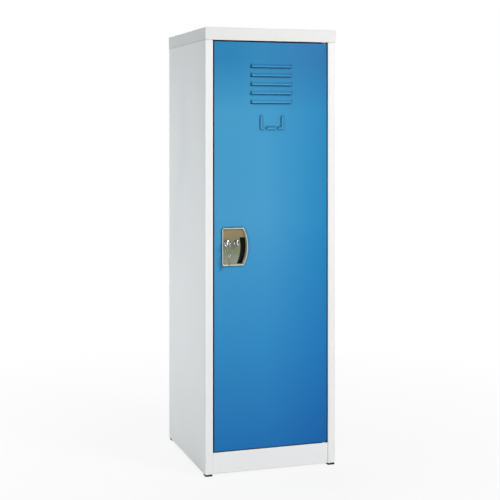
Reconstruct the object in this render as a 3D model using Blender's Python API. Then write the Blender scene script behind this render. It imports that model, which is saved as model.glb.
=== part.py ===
"""Single-door steel school locker with a recessed handle, a key lock and a padlock hasp.

Metres, +Z up. The door faces -Y and is hung on its +X side. The origin is on the floor, at the centre of the
whole object's footprint.
"""

import math

import bmesh
import bpy
from mathutils import Vector

# ---------------------------------------------------------------- driving dimensions, in metres
WIDTH = 0.381
DEPTH = 0.381
HEIGHT = 1.2192

# Sheet metal, and the gaps between fixed (GAP) and turning (RUNNING_GAP) pieces
SHEET = 0.0008
HEAVY_SHEET = 0.0012
BEND = 0.0012
BEND_STEPS = 1
GAP = 0.0004
RUNNING_GAP = 0.0003
CUT_MARGIN = 0.003
CREASE_ANGLE = math.radians(25)

# Cabinet shell
FOOT_HEIGHT = 0.006
CAP_HEIGHT = 0.034
CAP_PROUD = 0.0015
POST_WIDTH = 0.0223
REAR_FLANGE = 0.015
STOP_DEPTH = 0.024
STOP_WIDTH = 0.012
RAIL_STOP_DEPTH = 0.0224
RAIL_BELOW_CAP = 0.004
KICK_TOP = 0.0635
KICK_RECESS = 0.0015
KICK_RETURN = 0.015
BACK_RAISED = 0.002
PAN_FLAT_EDGE = 0.006
PAN_CORNER = 0.002

# Door and its hinges
DOOR_GAP_LATCH = 0.0028
DOOR_GAP_HINGE = 0.0027
DOOR_GAP_TOP = 0.003
DOOR_GAP_BOTTOM = 0.0022
DOOR_DEPTH = 0.018
DOOR_LIP = 0.012
DOOR_INSET = 0.0005
HINGE_FROM_OPENING = 0.0108
HINGE_DEPTH = 0.0065
PIN_RADIUS = 0.0026
PIN_CHAMFER = 0.0008
PIN_OUT = 0.012
PIN_TAIL = 0.006
PIN_BRACKET_IN = 0.032
PIN_BRACKET_WIDTH = 0.0145
PIN_BRACKET_RISE = 0.014
PIN_BRACKET_BACK = 0.0155
BUSH_RADIUS = 0.0038
BUSH_LENGTH = 0.005
BUSH_FLANGE_RADIUS = 0.0056
BUSH_FLANGE = 0.0012
STIFFENER_X = 0.088
STIFFENER_FOOT = 0.008
STIFFENER_CROWN = 0.018
STIFFENER_RISE = 0.012
STIFFENER_SHORTER = 0.016

# Door bumpers
BUMPER_HEIGHTS = (("upper", 0.930), ("lower", 0.240))
BUMPER_FROM_POST = 0.0065
BUMPER_RADIUS = 0.005
BUMPER_TIP_RADIUS = 0.0038
BUMPER_TIP = 0.0012

# Louvres pressed out of the door's face; the curve is (share of the rise, share of the height)
LOUVRE_COUNT = 5
LOUVRE_PITCH = 0.0246
LOUVRE_LOWEST = 1.0136
LOUVRE_HALF_WIDTH = 0.0582
LOUVRE_HEIGHT = 0.0105
LOUVRE_RISE = 0.0042
LOUVRE_CURVE = ((1.0, 0.0), (1.0, 0.18), (0.8, 0.42), (0.4, 0.72), (0.0, 1.0))
LOUVRE_SLOPE = 1.6
LOUVRE_END_GAP = 0.0013
LOUVRE_LOWER_GAP = 0.001

# Label holder lanced from the door's face
LABEL_LEFT = -0.0325
LABEL_RIGHT = 0.0355
LABEL_BOTTOM = 0.941
LABEL_TOP = 0.979
LABEL_RISE = 0.0022
LABEL_WALL = 0.0012
LABEL_TAB_WIDTH = 0.0065
LABEL_TAB_HEIGHT = 0.0065
LABEL_SLIT = 0.0010
CARD_CLEARANCE = 0.0001
LABEL_FOOT_LEFT = -0.0216
LABEL_FOOT_RIGHT = 0.0194
LABEL_MIDDLE = (-0.0143, 0.0123)

# Handle plate: straight on the latch side, bowed on the hinge side
HANDLE_LEFT = -0.1427
HANDLE_RIGHT = -0.0682
HANDLE_BOTTOM = 0.5698
HANDLE_TOP = 0.6728
HANDLE_BOW_RADIUS = 0.110
HANDLE_CORNER = 0.0055
HANDLE_LEAST_CORNER = 0.0012
HANDLE_PROUD = 0.003
RIM_WIDTH = 0.003
CUP_WALL = 0.0012
CUP_FLOOR = 0.002
CUP_FLOOR_THICKNESS = 0.0022
WELL_DEPTH = 0.0135
WELL_WIDTH = 0.0165
WELL_FROM_EDGE = 0.0042
WELL_BOTTOM = 0.5735
WELL_TOP = 0.646

# Strap behind the handle
STRAP_HALF_WIDTH = 0.0115
STRAP_PAST_HANDLE = 0.004
STRAP_FOOT = 0.010
STRAP_SLOPE = 0.003
STRAP_BEND = 0.0015

# Lock
LOCK_X = -0.1288
LOCK_Z = 0.6307
BARREL_RADIUS = 0.009
BARREL_FLANGE = 0.0008
BARREL_CHAMFER = 0.0004
BARREL_PROUD = 0.0001
BARREL_END = 0.025
PLUG_RADIUS = 0.0065
PLUG_PROUD = 0.0006
KEYWAY_DEPTH = 0.021
LOCK_NUT_RADIUS = 0.0135
LOCK_NUT_THICKNESS = 0.0045

# Padlock hasp
HASP_X = -0.101
HASP_Z = 0.6305
SLEEVE_RADIUS = 0.0062
SLEEVE_BORE = 0.0043
SLEEVE_END = 0.0325
SLEEVE_FLANGE_RADIUS = 0.0088
SLEEVE_FLANGE = 0.0014
HASP_NUT_RADIUS = 0.0098
HASP_NUT_THICKNESS = 0.004
KNOB_RADIUS = 0.0074
KNOB_THICKNESS = 0.0022
KNOB_CHAMFER = 0.0008
KNOB_SHAFT = 0.004
LUG_HALF_HEIGHT = 0.008
LUG_HALF_THICKNESS = 0.0015
LUG_REACH = 0.0068
SHACKLE_HOLE = 0.0045

# Screws: radius of head and shank, and length; the head's shape as shares of its radius and its rise
SHELF_SCREW = (0.0036, 0.0018, 0.006)
CAM_SCREW = (0.005, 0.0016, 0.004)
SCREW_HEAD_RISE = 0.55
SCREW_CROWN_RADIUS = 0.6
SCREW_CROWN_RISE = 0.85
SCREW_RIM_RISE = 0.2

# Cams behind the lock and the hasp, each on a square tail with a screw
CAM_THICKNESS = 0.002
CAM_WIDTH = 0.014
CAM_TIP = 0.003
KEY_CAM_REACH = 0.034
HASP_CAM_REACH = 0.062
TAIL_HALF = 0.003
TAIL_PAST_CAM = 0.0012
TAIL_BORE = 0.0019
TAIL_BORE_DEPTH = 0.003

# Keys: a flat key with an open round bow, and the ring that joins two of them
KEY_OUT = 0.030
KEY_THICKNESS = 0.0022
BOW_OUTER = 0.010
BOW_INNER = 0.0068
BOW_OVERLAP = 0.002
NECK_LENGTH = 0.0038
NECK_SHARE = 1.25
BLADE_HALF_HEIGHT = 0.0037
BLADE_THICKNESS = 0.002
BLADE_IN_LOCK = 0.0195
BLADE_TIP = 0.002
KEY_CUTS = (0.0012, 0.0006, 0.0016, 0.0008)
FIRST_CUT = 0.0015
CUTS_SHARE = 0.8
CUT_START = 0.3
CUT_END = 0.6
RING_RADIUS = 0.0105
RING_WIRE = 0.0008
SPARE_LENGTH = 0.029

# Floor and hat shelf
FLOOR_TOP = 0.075
FLOOR_WALL = 0.018
SHELF_TOP = 0.935
SHELF_DEPTH = 0.022
SHELF_LIP = 0.012
SHELF_SETBACK = 0.030
SHELF_SCREW_SPREAD = 0.120
SHELF_SCREW_FROM_SIDE = 0.0064
SHELF_SCREW_HOLE = 0.0022
LEDGE_RISE = 0.016
LEDGE_WIDTH = 0.012
LEDGE_SHORTER = 0.004

# Coat rod, its sockets, and the hooks, held by nuts on welded studs
ROD_HEIGHT = 0.870
ROD_RADIUS = 0.0095
ROD_WALL = 0.001
ROD_CLEARANCE = 0.0006
SOCKET_RADIUS = 0.021
SOCKET_FLANGE = 0.0018
SOCKET_WALL = 0.0022
SOCKET_REACH = 0.012
SOCKET_FLOOR = 0.003
SOCKET_STUD_DROP = 0.0166
HOOK_HEIGHT = 0.800
HOOK_STRIP = 0.0022
HOOK_HALF_WIDTH = 0.007
HOOK_BEND = 0.008
HOOK_BEND_STEPS = 5
HOOK_PLATE_TOP = 0.022
HOOK_DROP = 0.016
HOOK_REACH = 0.022
HOOK_TIP_REACH = 0.026
HOOK_TIP_RISE = 0.002
HOOK_STUD_RISE = 0.012
STUD_RADIUS = 0.0017
STUD_LENGTH = 0.0055
STUD_HOLE_DEPTH = 0.004
NUT_RADIUS = 0.0036
NUT_WALL_HEIGHT = 0.0034
NUT_DOME_RADIUS = 0.0026
NUT_DOME_HEIGHT = 0.0062
NUT_HEIGHT = 0.0072
NUT_BORE_DEPTH = 0.0052

# Feet and the gussets that hold them
FOOT_SIZE = 0.0208
FOOT_SETBACK = 0.001
FOOT_BEVEL = 0.0008
STEM_RADIUS = 0.0035
STEM_STRAIGHT = 0.008
STEM_RISE = 0.011
STEM_TIP_SHARE = 0.6
GUSSET_RISE = 0.018
GUSSET_SHORTER = 0.0016
GUSSET_ENDS = (0.0032, 0.022)

# ---------------------------------------------------------------- planes worked out from them
KEY_REACH = KEY_OUT - DOOR_INSET
FRONT = KEY_REACH - (KEY_REACH + DEPTH + CAP_PROUD) / 2
BACK = FRONT + DEPTH
MIDDLE_Y = (FRONT + BACK) / 2
SIDE = WIDTH / 2
INSIDE = SIDE - SHEET
OPENING_SIDE = SIDE - POST_WIDTH
CAP_BOTTOM = HEIGHT - CAP_HEIGHT
OPENING_TOP = CAP_BOTTOM - GAP
INNER_BACK = BACK - SHEET * 2 - GAP * 3

DOOR_FACE = FRONT + DOOR_INSET
DOOR_LEFT = -OPENING_SIDE + DOOR_GAP_LATCH
DOOR_RIGHT = OPENING_SIDE - DOOR_GAP_HINGE
DOOR_TOP = OPENING_TOP - DOOR_GAP_TOP
DOOR_BOTTOM = KICK_TOP + DOOR_GAP_BOTTOM
DOOR_BACK = DOOR_FACE + DOOR_DEPTH
HINGE_X = OPENING_SIDE - HINGE_FROM_OPENING
HINGE_Y = FRONT + HINGE_DEPTH

SHELF_FRONT = FRONT + SHELF_SETBACK
LEDGE_TOP = SHELF_TOP - SHELF_DEPTH - GAP
SHELF_SCREW_X = INSIDE - SHELF_SCREW_FROM_SIDE
SHELF_SCREWS = (MIDDLE_Y - SHELF_SCREW_SPREAD, MIDDLE_Y + SHELF_SCREW_SPREAD)
SOCKET_STUD_Z = ROD_HEIGHT - SOCKET_STUD_DROP
HOOK_STUD_Z = HOOK_HEIGHT + HOOK_STUD_RISE

CUP_FLOOR_Y = DOOR_FACE + CUP_FLOOR
CUP_BACK_Y = CUP_FLOOR_Y + CUP_FLOOR_THICKNESS
STRAP_Y = CUP_BACK_Y + GAP
BOW_Y = DOOR_FACE - KEY_OUT + BOW_OUTER
RING_TOP_Z = LOCK_Z - BOW_INNER + RING_WIRE + RUNNING_GAP
RING_Z = RING_TOP_Z - RING_RADIUS
RING_BOTTOM_Z = RING_Z - RING_RADIUS
SPARE_BOW_Z = RING_BOTTOM_Z + RING_WIRE + RUNNING_GAP - BOW_INNER


# ---------------------------------------------------------------- materials
def paint(name, colour, roughness, metallic):
    """A Principled material with one colour."""
    made = bpy.data.materials.new(name)
    made.use_nodes = True
    shader = made.node_tree.nodes["Principled BSDF"]
    shader.inputs["Base Color"].default_value = (*colour, 1.0)
    shader.inputs["Roughness"].default_value = roughness
    shader.inputs["Metallic"].default_value = metallic
    made.diffuse_color = (*colour, 1.0)
    return made


# ---------------------------------------------------------------- shapes
AXIS_ORDER = {"X": (1, 2, 0), "Y": (0, 2, 1), "Z": (0, 1, 2)}


def place(first, second, along, axis):
    """A point from its two coordinates across an axis, in X, Y, Z order, and the one along it."""
    one, two, three = AXIS_ORDER[axis]
    spot = [0.0, 0.0, 0.0]
    spot[one], spot[two], spot[three] = first, second, along
    return spot


def bridge(bm, one, two):
    """Quads between two rings of as many points; a ring of one point makes a fan."""
    count = max(len(one), len(two))
    for i in range(count):
        j = (i + 1) % count
        if len(one) == 1:
            bm.faces.new((one[0], two[i], two[j]))
        elif len(two) == 1:
            bm.faces.new((one[i], two[0], one[j]))
        else:
            bm.faces.new((one[i], two[i], two[j], one[j]))


def prism(outline, axis, low, high):
    """A closed outline swept along an axis."""
    bm = bmesh.new()
    rings = []
    for level in (low, high):
        rings.append([bm.verts.new(place(u, v, level, axis)) for u, v in outline])
    bridge(bm, rings[0], rings[1])
    for ring in rings:
        bm.faces.new(ring)
    return bm


def block(x0, x1, y0, y1, z0, z1, bevel=0.0):
    """A box between two corners, its edges cut off by the bevel."""
    bm = prism([(x0, y0), (x1, y0), (x1, y1), (x0, y1)], "Z", z0, z1)
    if bevel:
        bmesh.ops.bevel(bm, geom=bm.edges[:], offset=bevel, segments=2, profile=0.5, affect="EDGES")
    return bm


def lathe(profile, axis, centre, segments=20):
    """A profile of (radius, place along the axis) turned about the axis.

    A profile that starts and ends at radius 0 is solid; any other is a ring, closed from end to start."""
    bm = bmesh.new()
    rings = []
    for radius, along in profile:
        if radius == 0:
            rings.append([bm.verts.new(place(*centre, along, axis))])
            continue
        ring = []
        for i in range(segments):
            angle = math.tau * i / segments
            spot = place(
                centre[0] + radius * math.cos(angle), centre[1] + radius * math.sin(angle), along, axis
            )
            ring.append(bm.verts.new(spot))
        rings.append(ring)
    closed = profile[0][0] != 0
    for one, two in zip(rings, rings[1:] + rings[:1] if closed else rings[1:]):
        bridge(bm, one, two)
    return bm


def cylinder(radius, axis, centre, low, high, segments=20):
    return lathe([(0, low), (radius, low), (radius, high), (0, high)], axis, centre, segments)


def tube(outer, inner, axis, centre, low, high, segments=20):
    return lathe([(inner, low), (outer, low), (outer, high), (inner, high)], axis, centre, segments)


def left_of(direction):
    return Vector((-direction.y, direction.x))


def offset_path(path, distance):
    """The path moved to its left, with mitred corners."""
    sides = [left_of((b - a).normalized()) for a, b in zip(path, path[1:])]
    moved = [path[0] + sides[0] * distance]
    for point, before, after in zip(path[1:], sides, sides[1:]):
        moved.append(point + (before + after) * distance / (1 + before.dot(after)))
    moved.append(path[-1] + sides[-1] * distance)
    return moved


def sheet_outline(path, side, thickness=SHEET, radius=BEND, steps=BEND_STEPS):
    """The outline of a folded sheet: one face follows the path, and the sheet lies left (1) or right (-1)."""
    middle = offset_path([Vector(point) for point in path], side * thickness / 2)
    stations = [(middle[0], left_of((middle[1] - middle[0]).normalized()))]
    for before, corner, after in zip(middle, middle[1:], middle[2:]):
        way_in = (corner - before).normalized()
        way_out = (after - corner).normalized()
        turn = math.atan2(way_in.cross(way_out), way_in.dot(way_out))
        towards = math.copysign(1, turn)
        start = corner - way_in * radius * math.tan(abs(turn) / 2)
        centre = start + left_of(way_in) * radius * towards
        for i in range(steps + 1):
            angle = turn * i / steps
            across = left_of(way_in)
            normal = Vector(
                (
                    across.x * math.cos(angle) - across.y * math.sin(angle),
                    across.x * math.sin(angle) + across.y * math.cos(angle),
                )
            )
            stations.append((centre - normal * radius * towards, normal))
    stations.append((middle[-1], left_of((middle[-1] - middle[-2]).normalized())))
    half = thickness / 2
    one_face = [point + normal * half for point, normal in stations]
    other_face = [point - normal * half for point, normal in stations]
    return one_face + other_face[::-1]


def folded(path, side, axis, low, high, thickness=SHEET, radius=BEND):
    """A folded sheet of one cross-section along an axis."""
    return prism(sheet_outline(path, side, thickness, radius), axis, low, high)


def rounded_rectangle(half_u, half_v, radius, steps=BEND_STEPS):
    corners = ((1, 1, 0), (-1, 1, 90), (-1, -1, 180), (1, -1, 270))
    points = []
    for sign_u, sign_v, start in corners:
        for i in range(steps + 1):
            angle = math.radians(start + 90 * i / steps)
            points.append(
                (
                    sign_u * (half_u - radius) + radius * math.cos(angle),
                    sign_v * (half_v - radius) + radius * math.sin(angle),
                )
            )
    return points


def pan(half_u, half_v, depth, lip, to_world, corner=PAN_CORNER):
    """A shallow sheet-metal tray: a flat face, four walls and, where lip is given, a return on each wall.

    to_world turns (across, up, depth) into a point."""
    path = [(PAN_FLAT_EDGE, 0.0), (0.0, 0.0), (0.0, depth)]
    if lip:
        path.append((lip, depth))
    bm = bmesh.new()
    rings = []
    for inset, deep in sheet_outline(path, -1):
        loop = rounded_rectangle(half_u - inset, half_v - inset, corner)
        rings.append([bm.verts.new(to_world(u, v, deep)) for u, v in loop])
    for one, two in zip(rings, rings[1:]):
        bridge(bm, one, two)
    bm.faces.new(rings[0])
    bm.faces.new(rings[-1])
    return bm


def gathered(parts):
    """Several shapes in one mesh, for use as a cutter or as something to join."""
    whole = bmesh.new()
    for part in parts:
        loose = bpy.data.meshes.new("loose")
        bmesh.ops.recalc_face_normals(part, faces=part.faces)
        part.to_mesh(loose)
        part.free()
        whole.from_mesh(loose)
        bpy.data.meshes.remove(loose)
    return whole


# ---------------------------------------------------------------- objects
def joint_empty(name, spot, parent=None):
    """An empty on a joint's axis, which the pieces that it moves are parented to."""
    empty = bpy.data.objects.new(name, None)
    bpy.context.scene.collection.objects.link(empty)
    empty.empty_display_size = 0.02
    if parent:
        empty.parent = parent
        empty.location = Vector(spot) - parent.matrix_world.translation
    else:
        empty.location = spot
    bpy.context.view_layer.update()
    return empty


def piece(name, bm, material, parent=None):
    """An object from a shape given in world coordinates."""
    bmesh.ops.recalc_face_normals(bm, faces=bm.faces)
    mesh = bpy.data.meshes.new(name)
    bm.to_mesh(mesh)
    bm.free()
    mesh.materials.append(material)
    made = bpy.data.objects.new(name, mesh)
    bpy.context.scene.collection.objects.link(made)
    if parent:
        made.parent = parent
        made.matrix_parent_inverse = parent.matrix_world.inverted()
    return made


def shape_with(target, bm, operation):
    """Cuts a shape from the target (DIFFERENCE) or joins it on (UNION), by a Boolean that stays on it."""
    label = f"{target.name}_{operation.lower()}_{len(target.modifiers)}"
    tool = piece(label, bm, target.data.materials[0], target.parent)
    tool.hide_render = True
    tool.display_type = "WIRE"
    boolean = target.modifiers.new(label, "BOOLEAN")
    boolean.operation = operation
    boolean.object = tool
    return target


def crease_by_angle():
    """A node group that shades a piece smooth except across edges sharper than the crease angle."""
    group = bpy.data.node_groups.new("crease_by_angle", "GeometryNodeTree")
    group.interface.new_socket("Geometry", in_out="INPUT", socket_type="NodeSocketGeometry")
    group.interface.new_socket("Geometry", in_out="OUTPUT", socket_type="NodeSocketGeometry")
    start = group.nodes.new("NodeGroupInput")
    end = group.nodes.new("NodeGroupOutput")
    angle = group.nodes.new("GeometryNodeInputMeshEdgeAngle")
    sharp = group.nodes.new("FunctionNodeCompare")
    sharp.operation = "GREATER_THAN"
    sharp.inputs["B"].default_value = CREASE_ANGLE
    faces = group.nodes.new("GeometryNodeSetShadeSmooth")
    edges = group.nodes.new("GeometryNodeSetShadeSmooth")
    edges.domain = "EDGE"
    edges.inputs["Shade Smooth"].default_value = False
    group.links.new(start.outputs["Geometry"], faces.inputs["Geometry"])
    group.links.new(faces.outputs["Geometry"], edges.inputs["Geometry"])
    group.links.new(angle.outputs["Unsigned Angle"], sharp.inputs["A"])
    group.links.new(sharp.outputs["Result"], edges.inputs["Selection"])
    group.links.new(edges.outputs["Geometry"], end.inputs["Geometry"])
    return group


def shade_pieces():
    """Puts the crease group last on every piece, after its Booleans."""
    group = crease_by_angle()
    for made in bpy.data.objects:
        if made.type == "MESH" and not made.hide_render:
            made.modifiers.new("crease", "NODES").node_group = group


def screw(name, axis, centre, seat, way, material, parent=None, sizes=SHELF_SCREW):
    """A pan-head screw. seat is the face that its head rests on, way (1 or -1) is where its shank points, and
    sizes are the radii of its head and shank and its length."""
    head, shank, length = sizes
    rise = head * SCREW_HEAD_RISE
    profile = [
        (0, seat - way * rise),
        (head * SCREW_CROWN_RADIUS, seat - way * rise * SCREW_CROWN_RISE),
        (head, seat - way * rise * SCREW_RIM_RISE),
        (head, seat),
        (shank, seat),
        (shank, seat + way * length),
        (0, seat + way * length),
    ]
    return piece(name, lathe(profile, axis, centre, 16), material, parent)


def dome_nut(name, centre, seat, way, material):
    """A small domed nut on a stud along X: seat is the face it's tightened against, and way its outward side."""
    bore = STUD_RADIUS + RUNNING_GAP
    profile = [
        (0, seat + way * NUT_BORE_DEPTH),
        (bore, seat + way * NUT_BORE_DEPTH),
        (bore, seat),
        (NUT_RADIUS, seat),
        (NUT_RADIUS, seat + way * NUT_WALL_HEIGHT),
        (NUT_DOME_RADIUS, seat + way * NUT_DOME_HEIGHT),
        (0, seat + way * NUT_HEIGHT),
    ]
    return piece(name, lathe(profile, "X", centre, 16), material)


# ---------------------------------------------------------------- cabinet
def side_panel(name, sign, material):
    """One sheet from the rear flange to the front post and its door stop, with two welded studs."""
    rear = BACK - SHEET - GAP
    path = [
        (sign * (SIDE - REAR_FLANGE), rear),
        (sign * SIDE, rear),
        (sign * SIDE, FRONT),
        (sign * OPENING_SIDE, FRONT),
        (sign * OPENING_SIDE, FRONT + STOP_DEPTH),
        (sign * (OPENING_SIDE - STOP_WIDTH), FRONT + STOP_DEPTH),
    ]
    panel = piece(name, folded(path, -sign, "Z", FOOT_HEIGHT, HEIGHT - SHEET - GAP), material)
    studs = []
    for height in (SOCKET_STUD_Z, HOOK_STUD_Z):
        ends = sorted((sign * (SIDE - SHEET / 2), sign * (INSIDE - STUD_LENGTH)))
        studs.append(cylinder(STUD_RADIUS, "X", (MIDDLE_Y, height), *ends, 16))
    return shape_with(panel, gathered(studs), "UNION")


def top_cap(material):
    def to_world(u, v, deep):
        return (u, MIDDLE_Y + v, HEIGHT - deep)

    return piece("top_cap", pan(SIDE + CAP_PROUD, DEPTH / 2 + CAP_PROUD, CAP_HEIGHT, 0, to_world), material)


def back_panel(material):
    """A flat sheet on the outside of the side panels' rear flanges, up to the cap's lower edge."""
    across = SIDE - GAP
    return piece(
        "back_panel",
        block(-across, across, BACK - SHEET, BACK, FOOT_HEIGHT + BACK_RAISED, CAP_BOTTOM - GAP),
        material,
    )


def bush_hole(height):
    """The hole for a hinge bush, through the horizontal sheet at this height."""
    axis = (HINGE_X, HINGE_Y)
    return cylinder(BUSH_RADIUS + GAP, "Z", axis, height - CUT_MARGIN, height + CUT_MARGIN)


def header_rail(material):
    """The rail over the door: a face behind the cap, an underside with the hinge bush, and a door stop."""
    path = [
        (FRONT, HEIGHT - SHEET - RAIL_BELOW_CAP),
        (FRONT, OPENING_TOP),
        (FRONT + RAIL_STOP_DEPTH, OPENING_TOP),
        (FRONT + RAIL_STOP_DEPTH, OPENING_TOP - STOP_WIDTH),
    ]
    reach = OPENING_SIDE - GAP
    rail = piece("header_rail", folded(path, 1, "X", -reach, reach), material)
    return shape_with(rail, bush_hole(OPENING_TOP), "DIFFERENCE")


def kick_plate(material):
    """The plate under the door: a bottom return, the face, the sill and a door stop."""
    face = FRONT + KICK_RECESS
    path = [
        (face + KICK_RETURN, FOOT_HEIGHT),
        (face, FOOT_HEIGHT),
        (face, KICK_TOP),
        (FRONT + RAIL_STOP_DEPTH, KICK_TOP),
        (FRONT + RAIL_STOP_DEPTH, KICK_TOP + STOP_WIDTH),
    ]
    reach = OPENING_SIDE - GAP
    plate = piece("kick_plate", folded(path, -1, "X", -reach, reach), material)
    return shape_with(plate, bush_hole(KICK_TOP), "DIFFERENCE")


def tray(name, top, front, back, depth, lip, material):
    """A floor or shelf between the side panels, with its walls turned down."""

    def to_world(u, v, deep):
        return (u, (front + back) / 2 + v, top - deep)

    return piece(name, pan(INSIDE - GAP, (back - front) / 2, depth, lip, to_world), material)


def shelf_ledge(name, sign, material):
    """An angle welded to the side panel, with two holes for the shelf's screws."""
    wall = sign * (INSIDE - GAP)
    path = [(wall, LEDGE_TOP - LEDGE_RISE), (wall, LEDGE_TOP), (wall - sign * LEDGE_WIDTH, LEDGE_TOP)]
    ends = (SHELF_FRONT + LEDGE_SHORTER, INNER_BACK - LEDGE_SHORTER)
    ledge = piece(name, folded(path, sign, "Y", *ends, HEAVY_SHEET), material)
    return shape_with(ledge, shelf_screw_holes(sign, LEDGE_TOP), "DIFFERENCE")


def shelf_screw_holes(sign, height):
    holes = []
    for depth in SHELF_SCREWS:
        spot = (sign * SHELF_SCREW_X, depth)
        holes.append(cylinder(SHELF_SCREW_HOLE, "Z", spot, height - CUT_MARGIN, height + CUT_MARGIN, 16))
    return gathered(holes)


def shelf(grey, zinc):
    """The hat shelf, screwed from below to a ledge on either side."""
    shelf_sheet = tray("hat_shelf", SHELF_TOP, SHELF_FRONT, INNER_BACK, SHELF_DEPTH, SHELF_LIP, grey)
    for side, sign in (("left", -1), ("right", 1)):
        shape_with(shelf_sheet, shelf_screw_holes(sign, SHELF_TOP - SHELF_DEPTH), "DIFFERENCE")
        shelf_ledge(f"shelf_ledge_{side}", sign, grey)
        seat = LEDGE_TOP - HEAVY_SHEET - GAP
        for end, depth in zip(("front", "rear"), SHELF_SCREWS):
            screw(f"shelf_screw_{side}_{end}", "Z", (sign * SHELF_SCREW_X, depth), seat, 1, zinc)


def stud_hole(sign, height):
    wall = sign * INSIDE
    ends = sorted((wall + sign * GAP, wall - sign * STUD_HOLE_DEPTH))
    return cylinder(STUD_RADIUS + GAP, "X", (MIDDLE_Y, height), *ends, 16)


def rod_socket(name, sign, material):
    """A flanged cup that takes an end of the coat rod and is held by a stud under the cup."""
    wall = sign * (INSIDE - GAP)
    flange = wall - sign * SOCKET_FLANGE
    mouth = wall - sign * SOCKET_REACH
    floor = wall - sign * SOCKET_FLOOR
    bore = ROD_RADIUS + ROD_CLEARANCE
    profile = [
        (0, wall),
        (SOCKET_RADIUS, wall),
        (SOCKET_RADIUS, flange),
        (bore + SOCKET_WALL, flange),
        (bore + SOCKET_WALL, mouth),
        (bore, mouth),
        (bore, floor),
        (0, floor),
    ]
    socket = piece(name, lathe(profile, "X", (MIDDLE_Y, ROD_HEIGHT)), material)
    return shape_with(socket, stud_hole(sign, SOCKET_STUD_Z), "DIFFERENCE")


def coat_hook(name, sign, material):
    """A strip bent into a hook and held by a stud through its back plate."""
    wall = sign * (INSIDE - GAP)
    path = [
        (wall, HOOK_HEIGHT + HOOK_PLATE_TOP),
        (wall, HOOK_HEIGHT - HOOK_DROP),
        (wall - sign * HOOK_REACH, HOOK_HEIGHT - HOOK_DROP),
        (wall - sign * HOOK_TIP_REACH, HOOK_HEIGHT + HOOK_TIP_RISE),
    ]
    outline = sheet_outline(path, -sign, HOOK_STRIP, HOOK_BEND, HOOK_BEND_STEPS)
    hook = piece(name, prism(outline, "Y", MIDDLE_Y - HOOK_HALF_WIDTH, MIDDLE_Y + HOOK_HALF_WIDTH), material)
    return shape_with(hook, stud_hole(sign, HOOK_STUD_Z), "DIFFERENCE")


def coat_rail(steel, zinc):
    """The coat rod in its two sockets, and a hook below each."""
    reach = INSIDE - GAP - SOCKET_FLOOR - ROD_CLEARANCE
    axis = (MIDDLE_Y, ROD_HEIGHT)
    piece("coat_rod", tube(ROD_RADIUS, ROD_RADIUS - ROD_WALL, "X", axis, -reach, reach), steel)
    for side, sign in (("left", -1), ("right", 1)):
        wall = sign * (INSIDE - GAP)
        rod_socket(f"rod_socket_{side}", sign, zinc)
        seat = wall - sign * (SOCKET_FLANGE + GAP)
        dome_nut(f"socket_nut_{side}", (MIDDLE_Y, SOCKET_STUD_Z), seat, -sign, zinc)
        coat_hook(f"coat_hook_{side}", sign, zinc)
        seat = wall - sign * (HOOK_STRIP + GAP)
        dome_nut(f"hook_nut_{side}", (MIDDLE_Y, HOOK_STUD_Z), seat, -sign, zinc)


def foot(label, corner, middle, material):
    """A plastic pad with a stem; corner holds its sides as (low, high) in X and in Y."""
    top = FOOT_HEIGHT - RUNNING_GAP
    pad = piece(f"foot_{label}", block(*corner[0], *corner[1], 0, top, FOOT_BEVEL), material)
    stem = [
        (0, top - CUT_MARGIN),
        (STEM_RADIUS, top - CUT_MARGIN),
        (STEM_RADIUS, top + STEM_STRAIGHT),
        (STEM_RADIUS * STEM_TIP_SHARE, top + STEM_RISE),
        (0, top + STEM_RISE),
    ]
    return shape_with(pad, lathe(stem, "Z", middle, 16), "UNION")


def foot_gusset(label, sign, middle, ends, material):
    """A small angle bracket inside the cabinet's corner that the foot's stem is pushed up through."""
    wall = sign * (INSIDE - GAP)
    floor = FOOT_HEIGHT + GAP
    path = [(wall, floor + GUSSET_RISE), (wall, floor), (wall - sign * (FOOT_SIZE - GUSSET_SHORTER), floor)]
    gusset = piece(f"foot_gusset_{label}", folded(path, -sign, "Y", *ends, HEAVY_SHEET), material)
    hole = cylinder(STEM_RADIUS + GAP, "Z", middle, floor - CUT_MARGIN, floor + CUT_MARGIN, 16)
    return shape_with(gusset, hole, "DIFFERENCE")


def feet(black, grey):
    """A foot and its gusset in each corner."""
    for end, edge, way in (("front", FRONT, 1), ("rear", BACK, -1)):
        for side, sign in (("left", -1), ("right", 1)):
            outer = (sign * (SIDE - FOOT_SETBACK), edge + way * FOOT_SETBACK)
            inner = (outer[0] - sign * FOOT_SIZE, outer[1] + way * FOOT_SIZE)
            corner = [sorted(pair) for pair in zip(outer, inner)]
            middle = [sum(pair) / 2 for pair in corner]
            ends = sorted(edge + way * inwards for inwards in GUSSET_ENDS)
            foot(f"{end}_{side}", corner, middle, black)
            foot_gusset(f"{end}_{side}", sign, middle, ends, grey)


def hinge_bush(name, plate_face, way, material):
    """A flanged nylon bush: its flange lies on the door's side of the plate and its sleeve passes through."""
    flange = plate_face - way * GAP
    profile = [
        (PIN_RADIUS + RUNNING_GAP, flange - way * BUSH_FLANGE),
        (BUSH_FLANGE_RADIUS, flange - way * BUSH_FLANGE),
        (BUSH_FLANGE_RADIUS, flange),
        (BUSH_RADIUS, flange),
        (BUSH_RADIUS, flange + way * BUSH_LENGTH),
        (PIN_RADIUS + RUNNING_GAP, flange + way * BUSH_LENGTH),
    ]
    return piece(name, lathe(profile, "Z", (HINGE_X, HINGE_Y)), material)


def door_bumper(name, height, material):
    """A soft disc on the latch side's door stop."""
    base = FRONT + STOP_DEPTH - GAP
    tip = DOOR_BACK + GAP
    profile = [
        (0, base),
        (BUMPER_RADIUS, base),
        (BUMPER_RADIUS, tip + BUMPER_TIP),
        (BUMPER_TIP_RADIUS, tip),
        (0, tip),
    ]
    return piece(name, lathe(profile, "Y", (-OPENING_SIDE + BUMPER_FROM_POST, height), 16), material)


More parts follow.
